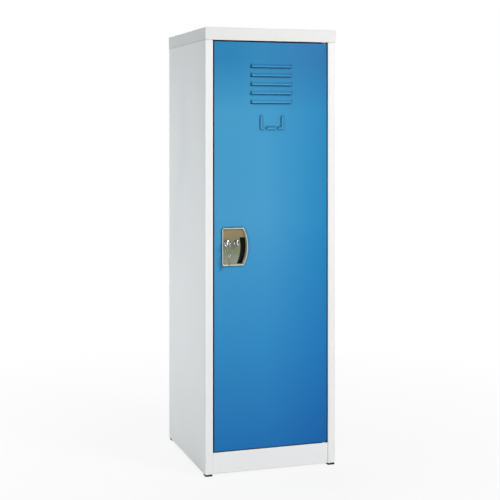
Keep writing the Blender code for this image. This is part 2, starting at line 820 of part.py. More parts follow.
def cabinet(grey, steel, zinc, black, rubber, nylon):
    side_panel("left_side_panel", -1, grey)
    side_panel("right_side_panel", 1, grey)
    back_panel(grey)
    top_cap(grey)
    header_rail(grey)
    kick_plate(grey)
    tray("floor_pan", FLOOR_TOP, FRONT + STOP_DEPTH + SHEET + GAP, INNER_BACK, FLOOR_WALL, 0, grey)
    shelf(grey, zinc)
    coat_rail(steel, zinc)
    feet(black, grey)
    hinge_bush("hinge_bush_upper", OPENING_TOP, 1, nylon)
    hinge_bush("hinge_bush_lower", KICK_TOP, -1, nylon)
    for label, height in BUMPER_HEIGHTS:
        door_bumper(f"door_bumper_{label}", height, rubber)


# ---------------------------------------------------------------- door
def louvre_hood(base, inset, half_width):
    """A hood that leans out from the face over an open lower edge; inset shrinks it to its hollow."""
    rise = LOUVRE_RISE - inset
    height = LOUVRE_HEIGHT - inset * LOUVRE_SLOPE
    rear = DOOR_FACE + (SHEET * 2 if inset else SHEET / 2)
    bottom = base - (LOUVRE_LOWER_GAP if inset else 0.0)
    section = [(rear, bottom), (DOOR_FACE - rise, bottom)]
    section += [(DOOR_FACE - rise * out, base + height * up) for out, up in LOUVRE_CURVE if up > 0]
    section.append((rear, base + height))
    return prism(section, "X", -half_width, half_width)


def add_louvres(door):
    """Hoods pressed out of the face, each cut free along its lower edge and both ends."""
    bases = [LOUVRE_LOWEST + i * LOUVRE_PITCH for i in range(LOUVRE_COUNT)]
    slot_half_width = LOUVRE_HALF_WIDTH + LOUVRE_END_GAP
    hoods = gathered([louvre_hood(base, 0.0, LOUVRE_HALF_WIDTH) for base in bases])
    hollows = gathered([louvre_hood(base, SHEET, slot_half_width) for base in bases])
    shape_with(door, hoods, "UNION")
    shape_with(door, hollows, "DIFFERENCE")


def side_tab_outline(side, grow, wall):
    """An L in (X, Z) at one side of the card: outer edges move in by wall, and inner ones out by grow."""
    outer, foot = (LABEL_LEFT, LABEL_FOOT_LEFT) if side < 0 else (LABEL_RIGHT, LABEL_FOOT_RIGHT)
    inner = outer - side * (LABEL_TAB_WIDTH + grow)
    outer -= side * wall
    foot -= side * grow
    bottom, top = LABEL_BOTTOM + wall, LABEL_TOP - wall
    foot_top = LABEL_BOTTOM + LABEL_TAB_HEIGHT + grow
    return [(outer, bottom), (foot, bottom), (foot, foot_top), (inner, foot_top), (inner, top), (outer, top)]


def middle_tab_outline(grow, wall):
    left, right = LABEL_MIDDLE[0] - grow, LABEL_MIDDLE[1] + grow
    bottom, top = LABEL_BOTTOM + wall, LABEL_BOTTOM + LABEL_TAB_HEIGHT + grow
    return [(left, bottom), (right, bottom), (right, top), (left, top)]


def add_label_holder(door):
    """Two L-shaped tabs and a middle one, lanced from the face, that hold a card at its sides and foot."""
    front = DOOR_FACE - LABEL_RISE

    def tab_shapes(grow, inset, near, far):
        outlines = [side_tab_outline(-1, grow, inset), side_tab_outline(1, grow, inset)]
        outlines.append(middle_tab_outline(grow, inset))
        return gathered([prism(outline, "Y", near, far) for outline in outlines])

    card = block(
        LABEL_LEFT + LABEL_WALL,
        LABEL_RIGHT - LABEL_WALL,
        front + SHEET,
        DOOR_FACE - CARD_CLEARANCE,
        LABEL_BOTTOM + LABEL_WALL,
        LABEL_TOP + CUT_MARGIN,
    )
    behind_door = DOOR_FACE + SHEET * 2
    shape_with(door, tab_shapes(0.0, 0.0, front, DOOR_FACE + SHEET / 2), "UNION")
    shape_with(door, card, "DIFFERENCE")
    shape_with(door, tab_shapes(LABEL_SLIT, LABEL_WALL, DOOR_FACE - SHEET / 2, behind_door), "DIFFERENCE")


def handle_outline(inset, steps=5):
    """The handle plate's outline in (X, Z), moved inwards: three straight sides and a bowed one."""
    left, bottom, top = HANDLE_LEFT + inset, HANDLE_BOTTOM + inset, HANDLE_TOP - inset
    middle = (HANDLE_BOTTOM + HANDLE_TOP) / 2
    bow = HANDLE_BOW_RADIUS - inset
    bow_x = HANDLE_RIGHT - HANDLE_BOW_RADIUS
    corner = max(HANDLE_CORNER - inset, HANDLE_LEAST_CORNER)
    fillet_z = top - corner - middle
    fillet_x = math.sqrt((bow - corner) ** 2 - fillet_z**2)
    swing = math.atan2(fillet_z, fillet_x)

    def arc(x, z, radius, start, end, count):
        for i in range(count + 1):
            angle = start + (end - start) * i / count
            yield (x + radius * math.cos(angle), z + radius * math.sin(angle))

    quarter = math.pi / 2
    points = list(arc(left + corner, bottom + corner, corner, 2 * quarter, 3 * quarter, steps))
    points += arc(bow_x + fillet_x, middle - fillet_z, corner, -quarter, -swing, steps)
    points += list(arc(bow_x, middle, bow, -swing, swing, 12))[1:-1]
    points += arc(bow_x + fillet_x, middle + fillet_z, corner, swing, quarter, steps)
    points += arc(left + corner, top - corner, corner, quarter, 2 * quarter, steps)
    return points


def well_outline(grow):
    """The finger well in (X, Z): a crescent against the inside of the rim's bowed side."""
    middle = (HANDLE_BOTTOM + HANDLE_TOP) / 2
    bow_x = HANDLE_RIGHT - HANDLE_BOW_RADIUS
    bow = HANDLE_BOW_RADIUS - WELL_FROM_EDGE + grow
    low, high = WELL_BOTTOM - grow, WELL_TOP + grow
    steps = 8
    right = []
    for i in range(steps + 1):
        z = low + (high - low) * i / steps
        right.append((bow_x + math.sqrt(bow**2 - (z - middle) ** 2), z))
    left = [(x - WELL_WIDTH - 2 * grow, z) for x, z in reversed(right)]
    return right + left


def door_panel(blue, parent):
    """The door's sheet: a pan with returns at the back, louvres, label tabs and the handle's cut-out."""
    half_width = (DOOR_RIGHT - DOOR_LEFT) / 2
    half_height = (DOOR_TOP - DOOR_BOTTOM) / 2
    centre_x = (DOOR_RIGHT + DOOR_LEFT) / 2
    centre_z = (DOOR_TOP + DOOR_BOTTOM) / 2

    def to_world(u, v, deep):
        return (centre_x + u, DOOR_FACE + deep, centre_z + v)

    door = piece("door_panel", pan(half_width, half_height, DOOR_DEPTH, DOOR_LIP, to_world), blue, parent)
    add_louvres(door)
    add_label_holder(door)
    outline = handle_outline(RIM_WIDTH - CUP_WALL - GAP)
    cut_out = prism(outline, "Y", DOOR_FACE - CUT_MARGIN, DOOR_FACE + CUT_MARGIN)
    shape_with(door, cut_out, "DIFFERENCE")
    ends = (DOOR_BOTTOM - CUT_MARGIN, DOOR_TOP + CUT_MARGIN)
    pin_holes = cylinder(PIN_RADIUS + GAP, "Z", (HINGE_X, HINGE_Y), *ends)
    shape_with(door, pin_holes, "DIFFERENCE")
    return door


def door_stiffener(blue, parent):
    """A hat-section channel up the inside of the door, on the hinge side of the louvres."""
    base = DOOR_FACE + SHEET + GAP
    crown = base + STIFFENER_RISE
    near = STIFFENER_X + STIFFENER_FOOT
    far = near + STIFFENER_CROWN
    end = far + STIFFENER_FOOT
    path = [(STIFFENER_X, base), (near, base), (near, crown), (far, crown), (far, base), (end, base)]
    ends = (DOOR_BOTTOM + STIFFENER_SHORTER, DOOR_TOP - STIFFENER_SHORTER)
    return piece("door_stiffener", folded(path, 1, "Z", *ends), blue, parent)


def hinge_pin(label, edge, way, steel, blue, parent):
    """A pin that stands out of the door's end, and the bracket inside the door that holds it."""
    tip = edge + way * PIN_OUT
    tail = edge - way * (PIN_BRACKET_IN + PIN_TAIL)
    profile = [
        (0, tail),
        (PIN_RADIUS, tail),
        (PIN_RADIUS, tip - way * PIN_CHAMFER),
        (PIN_RADIUS - PIN_CHAMFER, tip),
        (0, tip),
    ]
    piece(f"hinge_pin_{label}", lathe(profile, "Z", (HINGE_X, HINGE_Y), 20), steel, parent)
    plate = edge - way * PIN_BRACKET_IN
    wall = DOOR_RIGHT - SHEET - GAP
    path = [(wall - PIN_BRACKET_WIDTH, plate), (wall, plate), (wall, plate - way * PIN_BRACKET_RISE)]
    bracket = piece(
        f"pin_bracket_{label}",
        folded(path, -way, "Y", DOOR_FACE + SHEET + GAP, DOOR_FACE + PIN_BRACKET_BACK, HEAVY_SHEET),
        blue,
        parent,
    )
    ends = (plate - CUT_MARGIN, plate + CUT_MARGIN)
    hole = cylinder(PIN_RADIUS + RUNNING_GAP, "Z", (HINGE_X, HINGE_Y), *ends)
    shape_with(bracket, hole, "DIFFERENCE")


# ---------------------------------------------------------------- handle, lock and hasp
def handle_plate(nickel, parent):
    """The recessed handle: a rim on the door's face, a shallow cup and a deep finger well by its bowed side."""
    rim_front = DOOR_FACE - HANDLE_PROUD
    well_floor = DOOR_FACE + WELL_DEPTH
    rim = prism(handle_outline(0), "Y", rim_front, DOOR_FACE - RUNNING_GAP)
    plate = piece("handle_plate", rim, nickel, parent)
    cup = prism(handle_outline(RIM_WIDTH - CUP_WALL), "Y", DOOR_FACE - HANDLE_PROUD / 2, CUP_BACK_Y)
    shape_with(plate, cup, "UNION")
    shape_with(plate, prism(well_outline(CUP_WALL), "Y", CUP_FLOOR_Y, well_floor + CUP_WALL), "UNION")
    hollow = prism(handle_outline(RIM_WIDTH), "Y", rim_front - CUT_MARGIN, CUP_FLOOR_Y)
    shape_with(plate, hollow, "DIFFERENCE")
    shape_with(plate, prism(well_outline(0), "Y", CUP_FLOOR_Y - SHEET, well_floor), "DIFFERENCE")
    holes = []
    for radius, centre in ((BARREL_RADIUS, (LOCK_X, LOCK_Z)), (SLEEVE_RADIUS, (HASP_X, HASP_Z))):
        holes.append(cylinder(radius + GAP, "Y", centre, CUP_FLOOR_Y - SHEET, CUP_BACK_Y + CUT_MARGIN))
    return shape_with(plate, gathered(holes), "DIFFERENCE")


def lock_strap(zinc, parent):
    """A strap behind the handle that the lock nut draws against the inside of the door."""
    seat = DOOR_FACE + SHEET + GAP
    low = HANDLE_BOTTOM - STRAP_PAST_HANDLE
    high = HANDLE_TOP + STRAP_PAST_HANDLE
    path = [
        (seat, low - STRAP_FOOT),
        (seat, low),
        (STRAP_Y, low + STRAP_SLOPE),
        (STRAP_Y, high - STRAP_SLOPE),
        (seat, high),
        (seat, high + STRAP_FOOT),
    ]
    ends = (LOCK_X - STRAP_HALF_WIDTH, LOCK_X + STRAP_HALF_WIDTH)
    strap = piece("lock_strap", folded(path, -1, "X", *ends, HEAVY_SHEET, STRAP_BEND), zinc, parent)
    hole = cylinder(BARREL_RADIUS + GAP, "Y", (LOCK_X, LOCK_Z), STRAP_Y - CUT_MARGIN, STRAP_Y + CUT_MARGIN)
    return shape_with(strap, hole, "DIFFERENCE")


def hex_nut(name, centre, inner, corner_radius, low, high, material, parent):
    outline = []
    for i in range(6):
        angle = math.tau * i / 6
        across, up = corner_radius * math.cos(angle), corner_radius * math.sin(angle)
        outline.append((centre[0] + across, centre[1] + up))
    nut = piece(name, prism(outline, "Y", low, high), material, parent)
    return shape_with(nut, cylinder(inner, "Y", centre, low - CUT_MARGIN, high + CUT_MARGIN), "DIFFERENCE")


def lock_barrel(chrome, zinc, parent):
    """The lock's threaded barrel, flanged on the cup's floor, and the nut that holds it."""
    centre = (LOCK_X, LOCK_Z)
    face = DOOR_FACE - BARREL_PROUD
    seat = CUP_FLOOR_Y - RUNNING_GAP
    bore = PLUG_RADIUS + RUNNING_GAP
    end = DOOR_FACE + BARREL_END
    profile = [
        (bore, face),
        (BARREL_RADIUS - BARREL_CHAMFER, face),
        (BARREL_RADIUS + BARREL_FLANGE, face + BARREL_CHAMFER * 2),
        (BARREL_RADIUS + BARREL_FLANGE, seat),
        (BARREL_RADIUS, seat),
        (BARREL_RADIUS, end),
        (bore, end),
    ]
    piece("lock_barrel", lathe(profile, "Y", centre, 24), chrome, parent)
    low = STRAP_Y + HEAVY_SHEET + GAP
    high = low + LOCK_NUT_THICKNESS
    hex_nut("lock_nut", centre, BARREL_RADIUS + RUNNING_GAP, LOCK_NUT_RADIUS, low, high, zinc, parent)


def cam(name, centre, low, reach, material, parent):
    """A cam arm that hangs down at rest, with a square hole for the spindle's tail."""
    x, z = centre
    half = CAM_WIDTH / 2
    square = TAIL_HALF + RUNNING_GAP
    outline = []
    for i in range(9):
        angle = math.pi * i / 8
        outline.append((x + half * math.cos(angle), z + half * math.sin(angle)))
    outline += [
        (x - half, z - reach + CAM_TIP),
        (x - half + CAM_TIP, z - reach),
        (x + half - CAM_TIP, z - reach),
        (x + half, z - reach + CAM_TIP),
    ]
    high = low + CAM_THICKNESS
    arm = piece(name, prism(outline, "Y", low, high), material, parent)
    hole = block(x - square, x + square, low - CUT_MARGIN, high + CUT_MARGIN, z - square, z + square)
    return shape_with(arm, hole, "DIFFERENCE")


def spindle(name, centre, profile, end, material, parent):
    """A turned spindle that ends in a square tail for its cam, bored for the cam's screw.

    It gives back where the tail ends."""
    x, z = centre
    tail_end = end + CAM_THICKNESS + TAIL_PAST_CAM
    body = piece(name, lathe(profile, "Y", centre, 24), material, parent)
    tail = block(x - TAIL_HALF, x + TAIL_HALF, end - SHEET, tail_end, z - TAIL_HALF, z + TAIL_HALF)
    shape_with(body, tail, "UNION")
    bore = cylinder(TAIL_BORE, "Y", centre, end - TAIL_BORE_DEPTH, tail_end + CUT_MARGIN, 16)
    shape_with(body, bore, "DIFFERENCE")
    return body, tail_end


def cam_and_screw(label, centre, end, tail_end, reach, zinc, parent):
    cam(f"{label}_cam", centre, end + GAP, reach, zinc, parent)
    screw(f"{label}_cam_screw", "Y", centre, tail_end + RUNNING_GAP, -1, zinc, parent, CAM_SCREW)


def lock_plug(chrome, zinc, parent):
    """The plug that the key turns, with its keyway, cam and cam screw."""
    face = DOOR_FACE - PLUG_PROUD
    end = DOOR_FACE + BARREL_END + GAP
    centre = (LOCK_X, LOCK_Z)
    profile = [
        (0, face),
        (PLUG_RADIUS - BARREL_CHAMFER, face),
        (PLUG_RADIUS, face + BARREL_CHAMFER),
        (PLUG_RADIUS, end),
        (0, end),
    ]
    plug, tail_end = spindle("lock_plug", centre, profile, end, chrome, parent)
    half_thick = BLADE_THICKNESS / 2 + RUNNING_GAP
    half_high = BLADE_HALF_HEIGHT + GAP
    keyway = block(
        LOCK_X - half_thick,
        LOCK_X + half_thick,
        face - CUT_MARGIN,
        DOOR_FACE + KEYWAY_DEPTH,
        LOCK_Z - half_high,
        LOCK_Z + half_high,
    )
    shape_with(plug, keyway, "DIFFERENCE")
    cam_and_screw("lock", centre, end, tail_end, KEY_CAM_REACH, zinc, parent)


def hasp_sleeve(chrome, zinc, parent):
    """The sleeve that the hasp turns in, and its nut behind the cup."""
    centre = (HASP_X, HASP_Z)
    face = CUP_FLOOR_Y - SLEEVE_FLANGE
    seat = CUP_FLOOR_Y - RUNNING_GAP
    end = DOOR_FACE + SLEEVE_END
    profile = [
        (SLEEVE_BORE, face),
        (SLEEVE_FLANGE_RADIUS - KNOB_CHAMFER, face),
        (SLEEVE_FLANGE_RADIUS, seat),
        (SLEEVE_RADIUS, seat),
        (SLEEVE_RADIUS, end),
        (SLEEVE_BORE, end),
    ]
    piece("hasp_sleeve", lathe(profile, "Y", centre, 24), chrome, parent)
    low = CUP_BACK_Y + GAP
    high = low + HASP_NUT_THICKNESS
    hex_nut("hasp_nut", centre, SLEEVE_RADIUS + RUNNING_GAP, HASP_NUT_RADIUS, low, high, zinc, parent)


def hasp(chrome, zinc, parent):
    """The turning padlock hasp: a knob with a pierced lug, and its cam."""
    centre = (HASP_X, HASP_Z)
    base = CUP_FLOOR_Y - SLEEVE_FLANGE - RUNNING_GAP
    face = base - KNOB_THICKNESS
    end = DOOR_FACE + SLEEVE_END + GAP
    profile = [
        (0, face),
        (KNOB_RADIUS - KNOB_CHAMFER, face),
        (KNOB_RADIUS, face + KNOB_CHAMFER),
        (KNOB_RADIUS, base),
        (KNOB_SHAFT, base),
        (KNOB_SHAFT, end),
        (0, end),
    ]
    knob, tail_end = spindle("hasp_knob", centre, profile, end, chrome, parent)
    nose = face - LUG_REACH
    root = (face + base) / 2
    outline = [(root, HASP_Z - LUG_HALF_HEIGHT), (root, HASP_Z + LUG_HALF_HEIGHT)]
    for i in range(11):
        angle = math.pi / 2 + math.pi * i / 10
        outline.append((nose + LUG_HALF_HEIGHT * math.cos(angle), HASP_Z + LUG_HALF_HEIGHT * math.sin(angle)))
    lug = prism(outline, "X", HASP_X - LUG_HALF_THICKNESS, HASP_X + LUG_HALF_THICKNESS)
    shape_with(knob, lug, "UNION")
    ends = (HASP_X - CUT_MARGIN, HASP_X + CUT_MARGIN)
    shape_with(knob, cylinder(SHACKLE_HOLE, "X", (nose, HASP_Z), *ends), "DIFFERENCE")
    cam_and_screw("hasp", centre, end, tail_end, HASP_CAM_REACH, zinc, parent)


# ---------------------------------------------------------------- keys
def key_shape(name, bow_centre, blade_way, blade_length, material, parent):
    """A flat key in the YZ plane: an open round bow, a neck with a shoulder, and a cut blade.

    bow_centre is (Y, Z) and blade_way the unit direction from the bow to the blade's tip."""
    way = Vector(blade_way)
    across = left_of(way)
    centre = Vector(bow_centre)
    start = BOW_OUTER - BOW_OVERLAP
    shoulder = start + NECK_LENGTH
    tip = shoulder + blade_length
    half = BLADE_HALF_HEIGHT
    neck = half * NECK_SHARE
    profile = [(start, -neck), (shoulder, -neck), (shoulder, -half)]
    pitch = blade_length * CUTS_SHARE / len(KEY_CUTS)
    for i, cut in enumerate(KEY_CUTS):
        at = shoulder + FIRST_CUT + pitch * i
        ends = (at + pitch * CUT_START, at + pitch * CUT_END)
        profile += [(at, -half), (ends[0], -half + cut), (ends[1], -half + cut)]
    profile += [(tip - BLADE_TIP, -half), (tip, 0), (tip - BLADE_TIP, half), (shoulder, half)]
    profile += [(shoulder, neck), (start, neck)]
    outline = [centre + way * along + across * side for along, side in profile]
    half_bow, half_blade = KEY_THICKNESS / 2, BLADE_THICKNESS / 2
    bow = tube(BOW_OUTER, BOW_INNER, "X", bow_centre, LOCK_X - half_bow, LOCK_X + half_bow, 24)
    made = piece(name, bow, material, parent)
    return shape_with(made, prism(outline, "X", LOCK_X - half_blade, LOCK_X + half_blade), "UNION")


def key_ring(steel, parent):
    """The split ring, drawn as one round wire, upright and square to the key's bow."""
    profile = []
    for i in range(6):
        angle = math.tau * i / 6
        profile.append((RING_RADIUS + RING_WIRE * math.cos(angle), BOW_Y + RING_WIRE * math.sin(angle)))
    return piece("key_ring", lathe(profile, "Y", (LOCK_X, RING_Z), 32), steel, parent)


# ---------------------------------------------------------------- assembly
def main():
    for old in list(bpy.data.objects):
        bpy.data.objects.remove(old)

    grey = paint("light_grey_enamel", (0.80, 0.80, 0.785), 0.42, 0.0)
    blue = paint("blue_enamel", (0.035, 0.215, 0.455), 0.38, 0.0)
    nickel = paint("satin_nickel", (0.30, 0.285, 0.215), 0.38, 1.0)
    chrome = paint("chrome_plate", (0.72, 0.73, 0.74), 0.12, 1.0)
    zinc = paint("zinc_plate", (0.55, 0.56, 0.57), 0.35, 1.0)
    steel = paint("polished_steel", (0.60, 0.61, 0.62), 0.22, 1.0)
    black = paint("black_plastic", (0.012, 0.012, 0.013), 0.50, 0.0)
    rubber = paint("grey_rubber", (0.08, 0.08, 0.085), 0.75, 0.0)
    nylon = paint("white_nylon", (0.78, 0.77, 0.72), 0.45, 0.0)

    cabinet(grey, steel, zinc, black, rubber, nylon)

    hinge = joint_empty("door_hinge_axis", (HINGE_X, HINGE_Y, (DOOR_TOP + DOOR_BOTTOM) / 2))
    door_panel(blue, hinge)
    door_stiffener(blue, hinge)
    hinge_pin("upper", DOOR_TOP, 1, steel, blue, hinge)
    hinge_pin("lower", DOOR_BOTTOM, -1, steel, blue, hinge)
    handle_plate(nickel, hinge)
    lock_strap(zinc, hinge)
    lock_barrel(chrome, zinc, hinge)

    key_axis = joint_empty("key_turn_axis", (LOCK_X, DOOR_FACE, LOCK_Z), hinge)
    lock_plug(chrome, zinc, key_axis)
    blade = KEY_OUT - 2 * BOW_OUTER + BOW_OVERLAP - NECK_LENGTH + BLADE_IN_LOCK
    key_shape("key", (BOW_Y, LOCK_Z), (1, 0), blade, steel, key_axis)
    ring_axis = joint_empty("key_ring_axis", (LOCK_X, BOW_Y, RING_TOP_Z), key_axis)
    key_ring(steel, ring_axis)
    spare_axis = joint_empty("spare_key_axis", (LOCK_X, BOW_Y, RING_BOTTOM_Z), ring_axis)
    blade = SPARE_LENGTH - BOW_OUTER + BOW_OVERLAP - NECK_LENGTH
    key_shape("spare_key", (BOW_Y, SPARE_BOW_Z), (0, -1), blade, steel, spare_axis)

    hasp_axis = joint_empty("hasp_turn_axis", (HASP_X, DOOR_FACE, HASP_Z), hinge)
    hasp_sleeve(chrome, zinc, hinge)
    hasp(chrome, zinc, hasp_axis)
    shade_pieces()


main()
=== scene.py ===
"""Finished look of the steel school locker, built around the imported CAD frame.

Metres, +Z up, the door faces -Y. Sheet-metal pieces are redrawn with round bends, and every piece rides on
the CAD body it belongs to.
"""

import math

import bmesh
import bpy
from mathutils import Matrix, Vector

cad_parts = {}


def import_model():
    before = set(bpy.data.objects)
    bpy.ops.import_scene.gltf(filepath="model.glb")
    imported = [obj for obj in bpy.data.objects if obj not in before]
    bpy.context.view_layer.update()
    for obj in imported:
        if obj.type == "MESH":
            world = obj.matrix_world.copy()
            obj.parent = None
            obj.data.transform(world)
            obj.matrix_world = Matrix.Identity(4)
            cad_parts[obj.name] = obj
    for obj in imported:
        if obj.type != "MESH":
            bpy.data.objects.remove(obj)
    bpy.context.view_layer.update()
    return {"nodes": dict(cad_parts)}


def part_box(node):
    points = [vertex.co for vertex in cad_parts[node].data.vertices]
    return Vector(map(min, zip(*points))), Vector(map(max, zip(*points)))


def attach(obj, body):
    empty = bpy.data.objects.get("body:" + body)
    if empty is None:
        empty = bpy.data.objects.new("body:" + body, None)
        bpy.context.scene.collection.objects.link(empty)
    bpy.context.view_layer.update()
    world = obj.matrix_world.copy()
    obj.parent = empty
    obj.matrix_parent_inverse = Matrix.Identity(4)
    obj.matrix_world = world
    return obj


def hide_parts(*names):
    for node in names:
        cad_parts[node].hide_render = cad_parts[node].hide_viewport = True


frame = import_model()

# ---------------------------------------------------------------- sizes that the CAD part is drawn with
SHEET = 0.0008
HEAVY_SHEET = 0.0012
GAP = 0.0004

SIDE_LOW, SIDE_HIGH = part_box("right_side_panel")
DOOR_LOW, DOOR_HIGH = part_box("door_panel")
KICK_LOW, KICK_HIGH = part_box("kick_plate")
HEADER_LOW, HEADER_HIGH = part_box("header_rail")
HANDLE_LOW, HANDLE_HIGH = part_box("handle_plate")
LOCK_LOW, LOCK_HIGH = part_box("lock_barrel")

SIDE = SIDE_HIGH.x
FRONT = SIDE_LOW.y
MIDDLE_Y = (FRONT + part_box("back_panel")[1].y) / 2
POST_WIDTH = 0.0223
OPENING_SIDE = SIDE - POST_WIDTH
OPENING_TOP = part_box("top_cap")[0].z - GAP
REAR_FLANGE = 0.015
STOP_DEPTH = 0.024
STOP_WIDTH = 0.012
RAIL_STOP_DEPTH = 0.0224
KICK_TOP = KICK_HIGH.z - STOP_WIDTH
KICK_RECESS = 0.0015
KICK_RETURN = 0.015
DOOR_INSET = 0.0005
DOOR_FACE = FRONT + DOOR_INSET
DOOR_DEPTH = 0.018
DOOR_LIP = 0.012

# ---------------------------------------------------------------- mesh helpers
AXIS_ORDER = {"X": (1, 2, 0), "Y": (0, 2, 1), "Z": (0, 1, 2)}
QUARTER = math.pi / 2
BEND = 0.0014
BEND_STEPS = 6
CORNER_STEPS = 6
CUT_MARGIN = 0.001
SHARP = math.radians(38)


def place(first, second, along, axis):
    """A point from its two coordinates across an axis, in X, Y, Z order, and the one along it."""
    one, two, three = AXIS_ORDER[axis]
    spot = [0.0, 0.0, 0.0]
    spot[one], spot[two], spot[three] = first, second, along
    return Vector(spot)


def box_centre(node, axis):
    """The middle of a CAD node's box, in the two coordinates across an axis."""
    low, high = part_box(node)
    return tuple((low[i] + high[i]) / 2 for i in AXIS_ORDER[axis][:2])


LOCK = box_centre("lock_barrel", "Y")
HASP = box_centre("hasp_sleeve", "Y")
HANDLE_MIDDLE = box_centre("handle_plate", "Y")[1]


def arc(centre, radius, start, end, steps):
    """Points on an arc, both ends included."""
    points = []
    for i in range(steps + 1):
        angle = start + (end - start) * i / steps
        points.append((centre[0] + radius * math.cos(angle), centre[1] + radius * math.sin(angle)))
    return points


def circle(centre, radius, count):
    return arc(centre, radius, 0.0, math.tau, count)[:-1]


def rectangle(left, right, bottom, top):
    return [(left, bottom), (right, bottom), (right, top), (left, top)]


def rectangle_round(centre, half_u, half_v):
    """A rectangle with its middle on a point."""
    return rectangle(centre[0] - half_u, centre[0] + half_u, centre[1] - half_v, centre[1] + half_v)


def rounded_rectangle(centre, half_u, half_v, radius):
    points = []
    for i, (sign_u, sign_v) in enumerate(((1, 1), (-1, 1), (-1, -1), (1, -1))):
        corner = (centre[0] + sign_u * (half_u - radius), centre[1] + sign_v * (half_v - radius))
        points += arc(corner, radius, i * QUARTER, (i + 1) * QUARTER, CORNER_STEPS)
    return points


def ring_at(bm, outline, axis, level):
    """New mesh points on an outline that lies square to an axis."""
    return [bm.verts.new(place(u, v, level, axis)) for u, v in outline]


def bridge(bm, one, two, closed=True):
    """Faces between two rows of as many points; a row of one point makes a fan."""
    count = max(len(one), len(two))
    for i in range(count if closed else count - 1):
        j = (i + 1) % count
        if len(one) == 1:
            bm.faces.new((one[0], two[i], two[j]))
        elif len(two) == 1:
            bm.faces.new((one[i], two[0], one[j]))
        else:
            bm.faces.new((one[i], two[i], two[j], one[j]))


def skin(bm, rows, capped=True, closed=True):
    """Faces between each row of points and the next and, if capped, over both ends."""
    for one, two in zip(rows, rows[1:]):
        bridge(bm, one, two, closed)
    if capped:
        bm.faces.new(rows[0])
        bm.faces.new(rows[-1])


def fill(bm, rings, normal):
    """Flat triangles inside the first ring and outside the others."""
    edges = []
    for ring in rings:
        for a, b in zip(ring, ring[1:] + ring[:1]):
            edges.append(bm.edges.get((a, b)) or bm.edges.new((a, b)))
    bmesh.ops.triangle_fill(bm, use_beauty=True, use_dissolve=False, edges=edges, normal=normal)


def prism(outline, axis, low, high):
    bm = bmesh.new()
    skin(bm, [ring_at(bm, outline, axis, level) for level in (low, high)])
    return bm


def lathe(profile, axis, centre, segments, corner=None):
    """A profile of (radius, place along the axis) turned about the axis.

    corner, if given, turns (radius, angle) into a radius, as for a hexagon."""
    bm = bmesh.new()
    rings = []
    for radius, along in profile:
        if radius == 0:
            rings.append([bm.verts.new(place(*centre, along, axis))])
            continue
        outline = []
        for i in range(segments):
            angle = math.tau * i / segments
            reach = corner(radius, angle) if corner else radius
            outline.append((centre[0] + reach * math.cos(angle), centre[1] + reach * math.sin(angle)))
        rings.append(ring_at(bm, outline, axis, along))
    if profile[0][0] != 0:
        rings.append(rings[0])
    skin(bm, rings, capped=False)
    return bm


def rod(centre, radius, axis, low, high, segments):
    return lathe([(0, low), (radius, low), (radius, high), (0, high)], axis, centre, segments)


def left_of(direction):
    return Vector((-direction.y, direction.x))


def offset_path(path, distance):
    sides = [left_of((b - a).normalized()) for a, b in zip(path, path[1:])]
    moved = [path[0] + sides[0] * distance]
    for point, before, after in zip(path[1:], sides, sides[1:]):
        moved.append(point + (before + after) * distance / (1 + before.dot(after)))
    moved.append(path[-1] + sides[-1] * distance)
    return moved


def sheet_outline(path, side):
    """The outline of a folded sheet: one face follows the path, and the sheet lies left (1) or right (-1)."""
    half = SHEET / 2
    middle = offset_path([Vector(point) for point in path], side * half)
    stations = [(middle[0], left_of((middle[1] - middle[0]).normalized()))]
    for before, corner, after in zip(middle, middle[1:], middle[2:]):
        way_in = (corner - before).normalized()
        way_out = (after - corner).normalized()
        turn = math.atan2(way_in.cross(way_out), way_in.dot(way_out))
        towards = math.copysign(BEND, turn)
        start = corner - way_in * BEND * math.tan(abs(turn) / 2)
        centre = start + left_of(way_in) * towards
        for i in range(BEND_STEPS + 1):
            normal = Matrix.Rotation(turn * i / BEND_STEPS, 2) @ left_of(way_in)
            stations.append((centre - normal * towards, normal))
    stations.append((middle[-1], left_of((middle[-1] - middle[-2]).normalized())))
    one_face = [point + normal * half for point, normal in stations]
    other_face = [point - normal * half for point, normal in stations]
    return one_face + other_face[::-1]


def joined(parts):
    """Several shapes in one mesh."""
    whole = bmesh.new()
    for part in parts:
        loose = bpy.data.meshes.new("loose")
        bmesh.ops.recalc_face_normals(part, faces=part.faces)
        part.to_mesh(loose)
        part.free()
        whole.from_mesh(loose)
        bpy.data.meshes.remove(loose)
    return whole


def in_scene(name, data):
    made = bpy.data.objects.new(name, data)
    bpy.context.scene.collection.objects.link(made)
    return made


def smooth(target, weighted=True):
    """Smooth shading with sharp edges kept and, if weighted, normals that lean to the larger faces."""
    target.data.shade_smooth()
    target.data.set_sharp_from_angle(angle=SHARP)
    if weighted:
        target.modifiers.new("weighted_normals", "WEIGHTED_NORMAL").keep_sharp = True


def piece(name, bm, body, material, nodes=(), weighted=True):
    """A piece from a shape in world coordinates: it rides on a body and stands for the named CAD nodes."""
    bmesh.ops.remove_doubles(bm, verts=bm.verts, dist=1e-7)
    bmesh.ops.recalc_face_normals(bm, faces=bm.faces)
    mesh = bpy.data.meshes.new(name)
    bm.to_mesh(mesh)
    bm.free()
    mesh.materials.append(material)
    made = in_scene(name, mesh)
    smooth(made, weighted)
    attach(made, body)
    if nodes:
        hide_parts(*nodes)
    return made


def bake_modifier(target, modifier):
    """Applies one modifier to a piece, and marks the sharp edges of the shape that comes of it."""
    shown = [other for other in target.modifiers if other != modifier]
    for other in shown:
        other.show_viewport = False
    baked = bpy.data.meshes.new_from_object(target.evaluated_get(bpy.context.evaluated_depsgraph_get()))
    for other in shown:
        other.show_viewport = True
    target.modifiers.remove(modifier)
    target.data = baked
    baked.set_sharp_from_angle(angle=SHARP)


